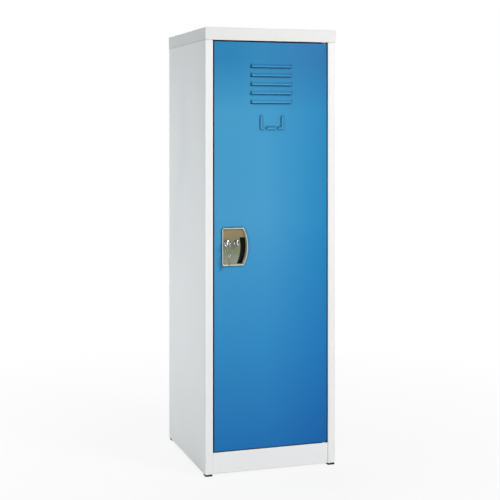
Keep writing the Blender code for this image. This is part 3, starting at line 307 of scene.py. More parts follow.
def cut(target, bm):
    """Cuts a shape from a piece, leaving the piece's own modifier in place."""
    tool = in_scene(f"{target.name}_cutter", bpy.data.meshes.new("cutter"))
    bmesh.ops.recalc_face_normals(bm, faces=bm.faces)
    bm.to_mesh(tool.data)
    bm.free()
    boolean = target.modifiers.new("cut", "BOOLEAN")
    boolean.operation = "DIFFERENCE"
    boolean.object = tool
    bake_modifier(target, boolean)
    bpy.data.objects.remove(tool)


def flat_plate(name, loops, plane, level, thickness, edge, body, material, nodes=()):
    """A plate with rounded edges from closed outlines, the first outside and the rest holes.

    plane is the axis that the plate is square to, and level is the plate's middle along it."""
    curve = bpy.data.curves.new(name, "CURVE")
    curve.dimensions = "2D"
    curve.fill_mode = "BOTH"
    curve.extrude = thickness / 2 - edge
    curve.bevel_depth = edge
    curve.bevel_resolution = 2
    curve.offset = -edge
    for loop in loops:
        spline = curve.splines.new("POLY")
        spline.points.add(len(loop) - 1)
        for point, (u, v) in zip(spline.points, loop):
            point.co = (u, v, 0, 1)
        spline.use_cyclic_u = True
    shape = in_scene("shape", curve)
    flat = bpy.data.meshes.new_from_object(shape.evaluated_get(bpy.context.evaluated_depsgraph_get()))
    bpy.data.objects.remove(shape)
    bpy.data.curves.remove(curve)
    bm = bmesh.new()
    bm.from_mesh(flat)
    bpy.data.meshes.remove(flat)
    bmesh.ops.remove_doubles(bm, verts=bm.verts, dist=1e-6)
    for vert in bm.verts:
        vert.co = place(vert.co.x, vert.co.y, level + vert.co.z, plane)
    return piece(name, bm, body, material, nodes)


# ---------------------------------------------------------------- materials
WHITE = (1.0, 1.0, 1.0)
# Reach and ray count of the painted shade that darkens gaps and closed-in spots.
GAP_REACH = 0.008
GAP_SAMPLES = 12
# Depths behind the door's face where the handle's painted rim highlight ends and where its painted well shade
# is at its deepest.
RIM_HIGHLIGHT_END = 0.0019
WELL_SHADE_DEPTH = 0.0085


class Nodes:
    """A node tree, with short ways to add what the finishes are made of.

    Inputs are given by name, with _ for a space. All textures share one set of coordinates."""

    def __init__(self, tree, space="Object"):
        self.tree = tree
        self.coords = self.new("TexCoord").outputs[space]

    def give(self, socket, value):
        """Links a socket to another node's output, or sets it to a plain value."""
        if isinstance(value, bpy.types.NodeSocket):
            self.tree.links.new(value, socket)
        else:
            socket.default_value = value

    def give_all(self, node, inputs):
        for name, value in inputs.items():
            self.give(node.inputs[name.replace("_", " ")], value)
        return node

    def new(self, kind, **inputs):
        return self.give_all(self.tree.nodes.new("ShaderNode" + kind), inputs)

    def surface(self, **inputs):
        """Gives inputs to the material's own Principled shader."""
        self.give_all(self.tree.nodes["Principled BSDF"], inputs)

    def noise(self, scale, detail=2.0, stretch=(1, 1, 1)):
        stretched = self.new("Mapping", Vector=self.coords, Scale=stretch).outputs["Vector"]
        return self.new("TexNoise", Scale=scale, Detail=detail, Vector=stretched).outputs["Fac"]

    def ramp(self, source, stops):
        made = self.new("ValToRGB", Fac=source)
        while len(made.color_ramp.elements) < len(stops):
            made.color_ramp.elements.new(0.5)
        for element, (spot, colour) in zip(made.color_ramp.elements, stops):
            element.position = spot
            element.color = (*colour, 1.0)
        return made.outputs["Color"]

    def map_range(self, source, low, high, to_low=0.0, to_high=1.0):
        limits = {"From_Min": low, "From_Max": high, "To_Min": to_low, "To_Max": to_high}
        return self.new("MapRange", Value=source, **limits).outputs["Result"]

    def share(self, axis, low, high):
        """How far along an axis a spot is from low to high, as 0 to 1."""
        return self.map_range(self.new("SeparateXYZ", Vector=self.coords).outputs[axis], low, high)

    def compute(self, operation, *values):
        made = self.new("Math")
        made.operation = operation
        for socket, value in zip(made.inputs, values):
            self.give(socket, value)
        return made.outputs[0]

    def mix(self, factor, one, two, mode="MIX"):
        made = self.new("Mix")
        made.data_type = "RGBA"
        made.blend_type = mode
        in_use = {socket.name: socket for socket in made.inputs if socket.enabled}
        for name, value in (("Factor", factor), ("A", one), ("B", two)):
            self.give(in_use[name], (*value, 1.0) if isinstance(value, tuple) else value)
        return next(s for s in made.outputs if s.type == "RGBA")

    def mix_shaders(self, factor, one, two):
        made = self.new("MixShader", Fac=factor)
        self.give(made.inputs[1], one)
        self.give(made.inputs[2], two)
        return made.outputs["Shader"]

    def bump(self, height, strength, distance, normal=None):
        made = self.new("Bump", Strength=strength, Distance=distance, Height=height)
        if normal:
            self.give(made.inputs["Normal"], normal)
        return made.outputs["Normal"]

    def seen_by_camera(self):
        return self.new("LightPath").outputs["Is Camera Ray"]


def new_material(name):
    made = bpy.data.materials.new(name)
    made.use_nodes = True
    return made, Nodes(made.node_tree)


def shaded_gaps(nodes, base, deepest, dark, clear):
    """Painted shade: darkens enamel, bronze or chrome where something closes it in. Below the door's sill all
    stays pale.

    dark and clear are how open a spot is where the shade is deepest and where it ends."""
    closed = nodes.new("AmbientOcclusion", Distance=GAP_REACH)
    closed.samples = GAP_SAMPLES
    tone = nodes.ramp(closed.outputs["AO"], ((dark, deepest), (clear, WHITE)))
    above_sill = nodes.share("Z", KICK_TOP - HEAVY_SHEET, KICK_TOP)
    return nodes.mix(above_sill, base, nodes.mix(1.0, base, tone, "MULTIPLY"))


def baked_coat(nodes, base, roughness, smear_scale, wave_scale, wave_height, specular):
    """The surface of both enamels: a smeared gloss, a slow wave from the rolled sheet, and orange peel."""
    smear = nodes.noise(smear_scale, 4.0, (1, 1, 0.35))
    wave = nodes.bump(nodes.noise(wave_scale, 1.0), 0.25, wave_height)
    nodes.surface(
        Base_Color=base,
        Roughness=nodes.map_range(smear, 0.3, 0.75, roughness - 0.05, roughness + 0.07),
        Normal=nodes.bump(nodes.noise(620.0), 0.10, 0.00035, wave),
        Specular_IOR_Level=specular,
    )


def enamel(name, colour, tint, roughness):
    """Oven-baked enamel with a slight colour drift and a few darker specks."""
    made, nodes = new_material(name)
    base = nodes.ramp(nodes.noise(3.2, 3.0), ((0.30, colour), (0.72, tint)))
    specks = nodes.map_range(nodes.noise(1500.0, 1.0), 0.72, 0.80, 0.0, 0.10)
    base = nodes.mix(specks, base, tuple(c * 0.55 for c in colour))
    # Painted shade in gaps and creases.
    base = shaded_gaps(nodes, base, (0.02, 0.025, 0.035), 0.30, 0.85)
    baked_coat(nodes, base, roughness, 9.0, 7.0, 0.0016, 0.45)
    return made


# Painted light and shade up the door: darkest at its lower edge, brightest and greenest in its upper middle,
# a little darker at its top.
DOOR_PAINTED_LIGHT_BY_HEIGHT = (
    (0.06, (0.008, 0.152, 0.432)),
    (0.30, (0.022, 0.232, 0.515)),
    (0.62, (0.052, 0.305, 0.555)),
    (0.88, (0.045, 0.300, 0.540)),
    (1.04, (0.013, 0.208, 0.440)),
)
# Painted shade across the door, as a multiplier: barely lighter at its left, darker and less red towards its
# hinge side.
DOOR_PAINTED_SHADE_ACROSS = ((0.0, (1.02, 0.99, 0.97)), (0.45, WHITE), (1.0, (0.18, 0.72, 0.86)))


def door_enamel(name):
    """Blue enamel with painted light and shade: brightest and greenest high on the door, deeper towards its
    lower edge and its hinges, and painted shade in its gaps.
    """
    made, nodes = new_material(name)
    height = nodes.share("Z", DOOR_LOW.z, DOOR_HIGH.z)
    up = nodes.ramp(nodes.compute("MULTIPLY_ADD", nodes.noise(2.4), 0.10, height), DOOR_PAINTED_LIGHT_BY_HEIGHT)
    side = nodes.ramp(nodes.share("X", DOOR_LOW.x, DOOR_HIGH.x), DOOR_PAINTED_SHADE_ACROSS)
    base = nodes.mix(1.0, up, side, "MULTIPLY")
    # Painted shade in the door's gaps and around its raised parts.
    base = shaded_gaps(nodes, base, (0.02, 0.05, 0.11), 0.58, 0.99)
    baked_coat(nodes, base, 0.38, 8.0, 6.0, 0.0018, 0.26)
    return made


def metal(name, dark, light, roughness, grain, stretch, depth, gap_shade_tone=None):
    """Plated or polished metal: fine stretched grain, cloudy tone and roughness that varies with the grain.

    The last argument, if given, is the deepest tone of the painted shade where something closes the metal in."""
    made, nodes = new_material(name)
    lines = nodes.noise(grain, 3.0, stretch)
    faint_lines = nodes.map_range(lines, 0.0, 1.0, 0.0, 0.4)
    cloud = nodes.compute("MULTIPLY_ADD", nodes.noise(60.0, 3.0), 0.6, faint_lines)
    base = nodes.ramp(cloud, ((0.3, dark), (0.7, light)))
    # Painted shade where something closes the metal in.
    if gap_shade_tone:
        base = shaded_gaps(nodes, base, gap_shade_tone, 0.50, 0.96)
    nodes.surface(
        Base_Color=base,
        Roughness=nodes.map_range(lines, 0.25, 0.75, roughness * 0.75, roughness * 1.25),
        Normal=nodes.bump(lines, 0.35, depth),
        Metallic=1.0,
    )
    return made


# The cup floor's tone by height: the olive bronze, with painted reflection that makes it pale grey low down
# and brown at its top.
HANDLE_TONES = (
    (0.10, (0.450, 0.430, 0.415)),
    (0.45, (0.290, 0.335, 0.215)),
    (0.80, (0.275, 0.290, 0.175)),
    (1.05, (0.390, 0.300, 0.165)),
)
# Painted highlight on the rim, and painted shade that fills the deep finger well.
HANDLE_RIM_HIGHLIGHT = (0.740, 0.800, 0.660)
HANDLE_WELL_SHADE = (0.012, 0.016, 0.009)


def handle_metal(name):
    """Satin bronze plate: a painted highlight on its rim, an olive floor whose tone, partly painted
    reflection, is pale grey low down and browner at its top, and painted shade in its finger well and gaps.
    """
    made, nodes = new_material(name)
    height = nodes.share("Z", HANDLE_LOW.z, HANDLE_HIGH.z)
    cup_floor = nodes.ramp(nodes.compute("MULTIPLY_ADD", nodes.noise(45.0), 0.34, height), HANDLE_TONES)
    # Masks by depth: the rim's painted highlight, and painted shade that deepens into the well.
    rim = nodes.share("Y", DOOR_FACE + RIM_HIGHLIGHT_END, DOOR_FACE + RIM_HIGHLIGHT_END / 2)
    deep = nodes.share("Y", DOOR_FACE + RIM_HIGHLIGHT_END * 1.5, DOOR_FACE + WELL_SHADE_DEPTH)
    tone = nodes.mix(deep, nodes.mix(rim, cup_floor, HANDLE_RIM_HIGHLIGHT), HANDLE_WELL_SHADE)
    grain = nodes.noise(2600.0, 2.0, (1, 1, 0.5))
    grain_tone = nodes.ramp(grain, ((0.3, (0.86, 0.86, 0.86)), (0.7, WHITE)))
    tone = nodes.mix(1.0, tone, grain_tone, "MULTIPLY")
    # The base colour also gets painted shade where the plate is closed in.
    nodes.surface(
        Base_Color=shaded_gaps(nodes, tone, (0.10, 0.08, 0.05), 0.40, 0.82),
        Roughness=nodes.map_range(grain, 0.25, 0.75, 0.32, 0.46),
        Normal=nodes.bump(grain, 0.30, 0.00002),
        Metallic=0.65,
    )
    return made


def plastic(name, colour, tint, roughness, grain=900.0, depth=0.00012):
    """Moulded plastic or rubber: a faint cloud in its colour, and a pebbled surface."""
    made, nodes = new_material(name)
    pebble = nodes.noise(grain)
    nodes.surface(
        Base_Color=nodes.ramp(nodes.noise(40.0, 3.0), ((0.3, colour), (0.7, tint))),
        Roughness=nodes.map_range(pebble, 0.2, 0.8, roughness - 0.08, roughness + 0.1),
        Normal=nodes.bump(pebble, 0.5, depth),
    )
    return made


EVEN = (1, 1, 1)
BRUSHED = (1, 0.15, 1)
# The deepest painted shade on chrome where it is closed in.
CHROME_GAP_SHADE = (0.02, 0.02, 0.02)
GREY = enamel("light_grey_enamel", (0.800, 0.803, 0.800), (0.835, 0.836, 0.832), 0.40)
# The cap's grey is the light grey enamel made darker: painted shade.
CAP_SHADED_GREY = enamel("cap_grey_shaded_enamel", (0.720, 0.722, 0.712), (0.750, 0.750, 0.740), 0.42)
BLUE = door_enamel("blue_enamel")
BRONZE = handle_metal("satin_bronze")
CHROME = metal("chrome", (0.70, 0.71, 0.72), (0.80, 0.81, 0.82), 0.07, 900.0, EVEN, 0.000004, CHROME_GAP_SHADE)
POLISHED = metal("polished_steel", (0.52, 0.53, 0.54), (0.68, 0.69, 0.70), 0.20, 900.0, BRUSHED, 0.00002)
ZINC = metal("zinc_plate", (0.44, 0.45, 0.46), (0.60, 0.61, 0.63), 0.34, 260.0, EVEN, 0.00004)
BLACK = plastic("black_plastic", (0.010, 0.010, 0.011), (0.022, 0.022, 0.024), 0.46)
RUBBER = plastic("grey_rubber", (0.055, 0.055, 0.058), (0.085, 0.085, 0.090), 0.72, 600.0, 0.0002)
NYLON = plastic("white_nylon", (0.70, 0.69, 0.64), (0.78, 0.77, 0.72), 0.42)

# ---------------------------------------------------------------- cabinet
TRAY_BORDER = 0.006
TRAY_CORNER = 0.002
CAP_CORNER = 0.0024
SHELF_LIP = 0.012
BUSH_HOLE = 0.0042
FOOT_CORNER = 0.0022
FOOT_PROFILE = (
    (0.0012, 0.0),
    (0.0003, 0.0004),
    (0.0, 0.0012),
    (0.0, 0.0045),
    (0.0004, 0.0053),
    (0.0012, 0.0057),
)
STEM_RADIUS = 0.0035
STEM_TIP_RADIUS = 0.0021
STEM_TAPER = 0.003


def sheet(node, bm, material=GREY):
    """A sheet-metal piece of the cabinet in the place of a CAD node."""
    return piece(node + "_sheet", bm, "cabinet", material, [node])


def cut_bush_hole(target, bush):
    low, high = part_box(bush)
    cut(target, rod(box_centre(bush, "Z"), BUSH_HOLE, "Z", low.z - CUT_MARGIN, high.z + CUT_MARGIN, 32))


def side_panel(name, sign):
    """A side with its rear flange, its front post and the door stop behind the post."""
    path = [
        (sign * (SIDE - REAR_FLANGE), SIDE_HIGH.y),
        (sign * SIDE, SIDE_HIGH.y),
        (sign * SIDE, FRONT),
        (sign * OPENING_SIDE, FRONT),
        (sign * OPENING_SIDE, FRONT + STOP_DEPTH),
        (sign * (OPENING_SIDE - STOP_WIDTH), FRONT + STOP_DEPTH),
    ]
    sheet(name, prism(sheet_outline(path, -sign), "Z", SIDE_LOW.z, SIDE_HIGH.z))


def header_rail():
    path = [
        (FRONT, HEADER_HIGH.z),
        (FRONT, OPENING_TOP),
        (FRONT + RAIL_STOP_DEPTH, OPENING_TOP),
        (FRONT + RAIL_STOP_DEPTH, OPENING_TOP - STOP_WIDTH),
    ]
    rail = sheet("header_rail", prism(sheet_outline(path, 1), "X", HEADER_LOW.x, HEADER_HIGH.x))
    cut_bush_hole(rail, "hinge_bush_upper")


def kick_plate():
    face = FRONT + KICK_RECESS
    path = [
        (face + KICK_RETURN, KICK_LOW.z),
        (face, KICK_LOW.z),
        (face, KICK_TOP),
        (FRONT + RAIL_STOP_DEPTH, KICK_TOP),
        (FRONT + RAIL_STOP_DEPTH, KICK_HIGH.z),
    ]
    plate = sheet("kick_plate", prism(sheet_outline(path, -1), "X", KICK_LOW.x, KICK_HIGH.x))
    cut_bush_hole(plate, "hinge_bush_lower")


def tray(node, corner, lip=0.0, material=GREY):
    """A shallow tray, open below, with round bends and, where lip is given, a return on each wall."""
    low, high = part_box(node)
    depth = high.z - low.z
    path = [(TRAY_BORDER, 0.0), (0.0, 0.0), (0.0, depth)]
    if lip:
        path.append((lip, depth))
    bm = bmesh.new()
    rings = []
    for inset, deep in sheet_outline(path, -1):
        half_u, half_v = high.x - inset, (high.y - low.y) / 2 - inset
        outline = rounded_rectangle(box_centre(node, "Z"), half_u, half_v, corner)
        rings.append(ring_at(bm, outline, "Z", high.z - deep))
    skin(bm, rings)
    sheet(node, bm, material)


def back_panel():
    low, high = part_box("back_panel")
    sheet("back_panel", prism(rectangle(low.x, high.x, low.y, high.y), "Z", low.z, high.z))


def foot(node):
    """A rounded plastic pad with a short stem."""
    low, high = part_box(node)
    centre = box_centre(node, "Z")
    half = (high.x - low.x) / 2
    pad = bmesh.new()
    rings = []
    for inset, rise in FOOT_PROFILE:
        outline = rounded_rectangle(centre, half - inset, half - inset, FOOT_CORNER)
        rings.append(ring_at(pad, outline, "Z", low.z + rise))
    skin(pad, rings)
    root = low.z + FOOT_PROFILE[-1][1] - CUT_MARGIN
    profile = [
        (0, root),
        (STEM_RADIUS, root),
        (STEM_RADIUS, high.z - STEM_TAPER),
        (STEM_TIP_RADIUS, high.z),
        (0, high.z),
    ]
    piece(node + "_pad", joined([pad, lathe(profile, "Z", centre, 24)]), "cabinet", BLACK, [node])


def cabinet():
    side_panel("left_side_panel", -1)
    side_panel("right_side_panel", 1)
    header_rail()
    kick_plate()
    tray("top_cap", CAP_CORNER, material=CAP_SHADED_GREY)
    back_panel()
    tray("floor_pan", TRAY_CORNER)
    tray("hat_shelf", TRAY_CORNER, SHELF_LIP)
    for end in ("front", "rear"):
        for side in ("left", "right"):
            foot(f"foot_{end}_{side}")


# ---------------------------------------------------------------- door
LOUVRE_COUNT = 5
LOUVRE_PITCH = 0.0246
LOUVRE_LOWEST = 1.0136
LOUVRE_HALF = 0.0582
LOUVRE_HEIGHT = 0.0105
LOUVRE_RISE = 0.0042
LOUVRE_END_GAP = 0.0013
LOUVRE_LOWER_GAP = 0.0006
LOUVRE_COLUMNS = 24
LOUVRE_ROWS = 12
LOUVRE_LIP = 0.14
LOUVRE_CURVE = 1.35
LABEL_LEFT = -0.0325
LABEL_RIGHT = 0.0355
LABEL_BOTTOM = 0.941
LABEL_TOP = 0.979
LABEL_RISE = 0.0022
LABEL_ROOT = 0.0003
LABEL_WALL = 0.0012
LABEL_TAB_WIDTH = 0.0065
LABEL_TAB_HEIGHT = 0.0065
LABEL_SLIT = 0.0010
LABEL_FOOT_LEFT = -0.0216
LABEL_FOOT_RIGHT = 0.0194
LABEL_MIDDLE = (-0.0143, 0.0123)
LABEL_EDGE = 0.0005
LABEL_CORNER = 0.0009
LABEL_CORNER_STEPS = 4
DOOR_EDGE_RADIUS = 0.0016
DOOR_CORNER_RADIUS = 0.0028
DOOR_CORNER_NARROWING = 0.1
DOOR_BORDER = 0.008
HANDLE_BOW_RADIUS = 0.110
HANDLE_CORNER = 0.0055
HANDLE_LEAST_CORNER = 0.0012
HANDLE_CORNER_STEPS = 8
HANDLE_BOW_STEPS = 28
HANDLE_CUT = 0.0014


def ease(share):
    share = max(0.0, min(1.0, share))
    return share * share * (3 - 2 * share)


def louvre_patch(bm, base):
    """One louvre: a flap hung from its top edge, cut free below and at both ends.

    It gives the closed ring of the opening under it, which the door's face is filled up to."""
    rows = []
    for j in range(LOUVRE_ROWS + 1):
        up = j / LOUVRE_ROWS
        lean = 1 - ease((up - LOUVRE_LIP) / (1 - LOUVRE_LIP)) ** LOUVRE_CURVE
        places = [LOUVRE_HALF * (i / LOUVRE_COLUMNS * 2 - 1) for i in range(LOUVRE_COLUMNS + 1)]
        row = [(x, base + LOUVRE_HEIGHT * up) for x in places]
        rows.append(ring_at(bm, row, "Y", DOOR_FACE - LOUVRE_RISE * lean))
    skin(bm, rows, capped=False, closed=False)
    reach = LOUVRE_HALF + LOUVRE_END_GAP
    top, bottom = base + LOUVRE_HEIGHT, base - LOUVRE_LOWER_GAP
    corners = [(reach, top), (reach, bottom), (-reach, bottom), (-reach, top)]
    return rows[-1] + ring_at(bm, corners, "Y", DOOR_FACE)


def handle_outline(inset):
    """The handle's outline in (X, Z), moved inwards: three straight sides and a bowed one on +X."""
    left, bottom, top = HANDLE_LOW.x + inset, HANDLE_LOW.z + inset, HANDLE_HIGH.z - inset
    bow = HANDLE_BOW_RADIUS - inset
    bow_x = HANDLE_HIGH.x - HANDLE_BOW_RADIUS
    corner = max(HANDLE_CORNER - inset, HANDLE_LEAST_CORNER)
    rise = top - corner - HANDLE_MIDDLE
    run = math.sqrt((bow - corner) ** 2 - rise**2)
    swing = math.atan2(rise, run)

    def rounding(x, z, start, end):
        return arc((x, z), corner, start, end, HANDLE_CORNER_STEPS)

    points = rounding(left + corner, bottom + corner, 2 * QUARTER, 3 * QUARTER)
    points += rounding(bow_x + run, HANDLE_MIDDLE - rise, -QUARTER, -swing)
    points += arc((bow_x, HANDLE_MIDDLE), bow, -swing, swing, HANDLE_BOW_STEPS)[1:-1]
    points += rounding(bow_x + run, HANDLE_MIDDLE + rise, swing, QUARTER)
    points += rounding(left + corner, top - corner, QUARTER, 2 * QUARTER)
    return points


def side_tab(side, grow, wall):
    """An L in (X, Z) at one side of the card: outer edges move in by wall, and inner ones out by grow."""
    outer, foot_end = (LABEL_LEFT, LABEL_FOOT_LEFT) if side < 0 else (LABEL_RIGHT, LABEL_FOOT_RIGHT)
    inner = outer - side * (LABEL_TAB_WIDTH + grow)
    outer -= side * wall
    foot_end -= side * grow
    bottom, top = LABEL_BOTTOM + wall, LABEL_TOP - wall
    foot_top = LABEL_BOTTOM + LABEL_TAB_HEIGHT + grow
    return [
        (outer, bottom),
        (foot_end, bottom),
        (foot_end, foot_top),
        (inner, foot_top),
        (inner, top),
        (outer, top),
    ]


def tab_outlines(grow, wall):
    left, right = LABEL_MIDDLE[0] - grow, LABEL_MIDDLE[1] + grow
    middle = rectangle(left, right, LABEL_BOTTOM + wall, LABEL_BOTTOM + LABEL_TAB_HEIGHT + grow)
    return {"left": side_tab(-1, grow, wall), "right": side_tab(1, grow, wall), "middle": middle}


def door_profile():
    """The door's edge from its face round the front bend, back, round the rear bend and along the lip."""
    radius = DOOR_EDGE_RADIUS
    return [
        (DOOR_BORDER, 0.0),
        *arc((radius, radius), radius, 3 * QUARTER, 2 * QUARTER, BEND_STEPS),
        *arc((radius, DOOR_DEPTH - radius), radius, 2 * QUARTER, QUARTER, BEND_STEPS),
        (DOOR_LIP, DOOR_DEPTH),
    ]


def door_sheet():
    """The door's skin: one pressed sheet, given its thickness by a Solidify."""
    centre = box_centre("door_panel", "Y")
    half_u = (DOOR_HIGH.x - DOOR_LOW.x) / 2
    half_v = (DOOR_HIGH.z - DOOR_LOW.z) / 2
    bm = bmesh.new()
    edge = []
    for inset, deep in door_profile():
        corner = max(DOOR_CORNER_RADIUS - inset * DOOR_CORNER_NARROWING, DOOR_EDGE_RADIUS)
        outline = rounded_rectangle(centre, half_u - inset, half_v - inset, corner)
        edge.append(ring_at(bm, outline, "Y", DOOR_FACE + deep))
    skin(bm, edge, capped=False)
    holes = [louvre_patch(bm, LOUVRE_LOWEST + i * LOUVRE_PITCH) for i in range(LOUVRE_COUNT)]
    for outline in (handle_outline(HANDLE_CUT), *tab_outlines(LABEL_SLIT, LABEL_WALL).values()):
        holes.append(ring_at(bm, outline, "Y", DOOR_FACE))
    fill(bm, [edge[0], *holes], Vector((0, -1, 0)))
    door = piece("door_skin", bm, "door", BLUE, ["door_panel"])
    solid = door.modifiers.new("sheet", "SOLIDIFY")
    solid.thickness = SHEET
    solid.offset = -1.0
    door.modifiers.move(1, 0)
    bake_modifier(door, solid)


def rounded(outline, radius):
    """A closed outline with its outward and inward corners rounded."""
    points = []
    for i, corner in enumerate(outline):
        corner = Vector(corner)
        before = (Vector(outline[i - 1]) - corner).normalized()
        after = (Vector(outline[(i + 1) % len(outline)]) - corner).normalized()
        start, end = corner + before * radius, corner + after * radius
        for j in range(LABEL_CORNER_STEPS + 1):
            share = j / LABEL_CORNER_STEPS
            points.append(tuple(start.lerp(corner, share).lerp(corner.lerp(end, share), share)))
    return points


def label_holder():
    """Three raised tabs with rounded edges, open behind so that a card slides in behind them."""
    thickness = LABEL_RISE + LABEL_ROOT
    level = DOOR_FACE + LABEL_ROOT - thickness / 2
    card = rectangle(
        LABEL_LEFT + LABEL_WALL,
        LABEL_RIGHT - LABEL_WALL,
        LABEL_BOTTOM + LABEL_WALL,
        LABEL_TOP + LABEL_WALL,
    )
    for side, outline in tab_outlines(0.0, 0.0).items():
        loops = [rounded(outline, LABEL_CORNER)]
        tab = flat_plate(f"label_tab_{side}", loops, "Y", level, thickness, LABEL_EDGE, "door", BLUE)
        cut(tab, prism(card, "Y", DOOR_FACE - LABEL_RISE + SHEET, DOOR_FACE + SHEET))


# ---------------------------------------------------------------- handle, lock and hasp
CUP_FLOOR = 0.002
CUP_BACK = 0.0042
CUP_WALL = 0.0012
CUP_RIM_BACK = (0.0018, -0.0003)
WELL_DEPTH = 0.0135
WELL_WIDTH = 0.0158
WELL_FROM_EDGE = 0.0052
WELL_FROM_BOTTOM = 0.0044
WELL_TOP_FROM_BOTTOM = 0.0765
WELL_CORNER = 0.0022
WELL_STEPS = 20
LOCK_HOLE = 0.0094
HASP_HOLE = 0.0066
FITTING_GAP = 0.0003
FITTING_SEAT = DOOR_FACE + CUP_FLOOR - FITTING_GAP
BARREL_BORE = 0.0068
BARREL_RADIUS = 0.0090
PLUG_BODY_END = DOOR_FACE + 0.0254
KEYHOLE_END = DOOR_FACE + 0.021
KEYHOLE_HALF = (0.0013, 0.0041)
SHAFT_RADIUS = 0.0031
PLUG_TAPPING = (0.0019, 0.006)
SLEEVE_BORE = 0.0043
SLEEVE_RADIUS = 0.0062
KNOB_SHANK = 0.004
EYE_HOLE = 0.0045
EYE_THICKNESS = 0.0030
EYE_EDGE = 0.0005
LOCK_NUT_BORE = 0.0093
HASP_NUT_BORE = 0.0065
NUT_CHAMFER = 0.0006
NUT_FACE_SHARE = 0.97
CAM_HOLE_HALF = 0.0033
CAM_TIP = 0.003
STAMPED_EDGE = 0.0003
SCREW_RADIUS = 0.0016
SCREW_HEAD_RISE = 0.55
SCREW_HEAD_EDGE = 0.2
SCREW_DOME_STEPS = 8
RECESS_HALF = (0.0026, 0.0007)
RECESS_MOUTH = (1.15, 0.0004)
RECESS_BOTTOM = (0.35, -0.0014)


def well_outline(grow):
    """The finger well in (X, Z): a crescent beside the handle's bowed side, with rounded corners."""
    bow_x = HANDLE_HIGH.x - HANDLE_BOW_RADIUS
    bow = HANDLE_BOW_RADIUS - WELL_FROM_EDGE + grow
    corner = WELL_CORNER + grow
    low = HANDLE_LOW.z + WELL_FROM_BOTTOM - grow + corner
    high = HANDLE_LOW.z + WELL_TOP_FROM_BOTTOM + grow - corner
    width = WELL_WIDTH + 2 * grow
    rises = [low + (high - low) * i / WELL_STEPS for i in range(WELL_STEPS + 1)]

    def edge(z):
        return bow_x + math.sqrt(bow**2 - (z - HANDLE_MIDDLE) ** 2)

    def rounding(from_edge, z, turns):
        return arc((edge(z) + from_edge, z), corner, turns * QUARTER, (turns + 1) * QUARTER, CORNER_STEPS)

    points = [(edge(z), z) for z in rises]
    points += rounding(-corner, high, 0)[1:-1]
    points += rounding(corner - width, high, 1)[:-1]
    points += [(edge(z) - width, z) for z in reversed(rises)]
    points += rounding(corner - width, low, 2)[1:-1]
    points += rounding(-corner, low, 3)[:-1]
    return points


def handle_plate():
    """The recessed handle in one closed shell: rounded rim, shallow cup and a deep crescent finger well."""
    bm = bmesh.new()

    def rings(outline_at, profile):
        """One ring for each (inset or growth, depth behind the door's face) of a profile."""
        return [ring_at(bm, outline_at(change), "Y", DOOR_FACE + deep) for change, deep in profile]

    rim_and_cup = [
        (0.0, -0.0003),
        (0.0, -0.0023),
        (0.0001, -0.0026),
        (0.0003, -0.0028),
        (0.0007, -0.0030),
        (0.0018, -0.0030),
        (0.0024, -0.0028),
        (0.0029, -0.0023),
        (0.0031, -0.0014),
        (0.0034, 0.0006),
        (0.0037, 0.0012),
        (0.0041, 0.0017),
        (0.0045, CUP_FLOOR),
    ]
    front = rings(handle_outline, rim_and_cup)
    back = rings(handle_outline, [CUP_RIM_BACK, (CUP_RIM_BACK[0], CUP_BACK)])
    skin(bm, back[::-1] + front, capped=False)
    inside_well = [
        (0.0005, CUP_FLOOR),
        (0.00015, CUP_FLOOR + 0.0002),
        (0.0, CUP_FLOOR + 0.0006),
        (-0.0005, WELL_DEPTH - 0.0012),
        (-0.0009, WELL_DEPTH - 0.0004),
        (-0.0017, WELL_DEPTH),
    ]
    well = rings(well_outline, inside_well)
    skin(bm, well, capped=False)
    well_back = rings(well_outline, [(CUP_WALL, CUP_BACK), (CUP_WALL, WELL_DEPTH + CUP_WALL)])
    skin(bm, well_back, capped=False)
    bm.faces.new(well[-1])
    bm.faces.new(well_back[-1])

    holes = []
    for centre, radius in ((LOCK, LOCK_HOLE), (HASP, HASP_HOLE)):
        outline = circle(centre, radius, 40)
        holes.append([ring_at(bm, outline, "Y", DOOR_FACE + deep) for deep in (CUP_FLOOR, CUP_BACK)])
        skin(bm, holes[-1], capped=False)
    fill(bm, [front[-1], well[0]] + [hole[0] for hole in holes], Vector((0, -1, 0)))
    fill(bm, [back[-1], well_back[0]] + [hole[1] for hole in holes], Vector((0, 1, 0)))
    piece("handle_cup", bm, "door", BRONZE, ["handle_plate"])


def lock_barrel():
    front = LOCK_LOW.y
    profile = [
        (BARREL_BORE, front + 0.0004),
        (BARREL_BORE + 0.0003, front + 0.0001),
        (BARREL_BORE + 0.0008, front),
        (0.0083, front),
        (0.0090, front + 0.0001),
        (0.0095, front + 0.0004),
        (0.0098, front + 0.0009),
        (0.0098, FITTING_SEAT),
        (BARREL_RADIUS, FITTING_SEAT),
        (BARREL_RADIUS, LOCK_HIGH.y),
        (BARREL_BORE, LOCK_HIGH.y),
    ]
    piece("lock_barrel_body", lathe(profile, "Y", LOCK, 64), "door", CHROME, ["lock_barrel"])


def lock_plug():
    """The plug that the key turns, with its keyhole and the tapping for the cam's screw."""
    low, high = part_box("lock_plug")
    profile = [
        (0, low.y),
        (0.0056, low.y),
        (0.0061, low.y + 0.0001),
        (0.0064, low.y + 0.0003),
        (0.0065, low.y + 0.0007),
        (0.0065, PLUG_BODY_END),
        (SHAFT_RADIUS, PLUG_BODY_END),
        (SHAFT_RADIUS, high.y),
        (0, high.y),
    ]
    plug = piece("lock_plug_body", lathe(profile, "Y", LOCK, 64), "lock_cylinder", CHROME, ["lock_plug"])
    cut(plug, prism(rectangle_round(LOCK, *KEYHOLE_HALF), "Y", low.y - CUT_MARGIN, KEYHOLE_END))
    radius, depth = PLUG_TAPPING
    cut(plug, rod(LOCK, radius, "Y", high.y - depth, high.y + CUT_MARGIN, 24))


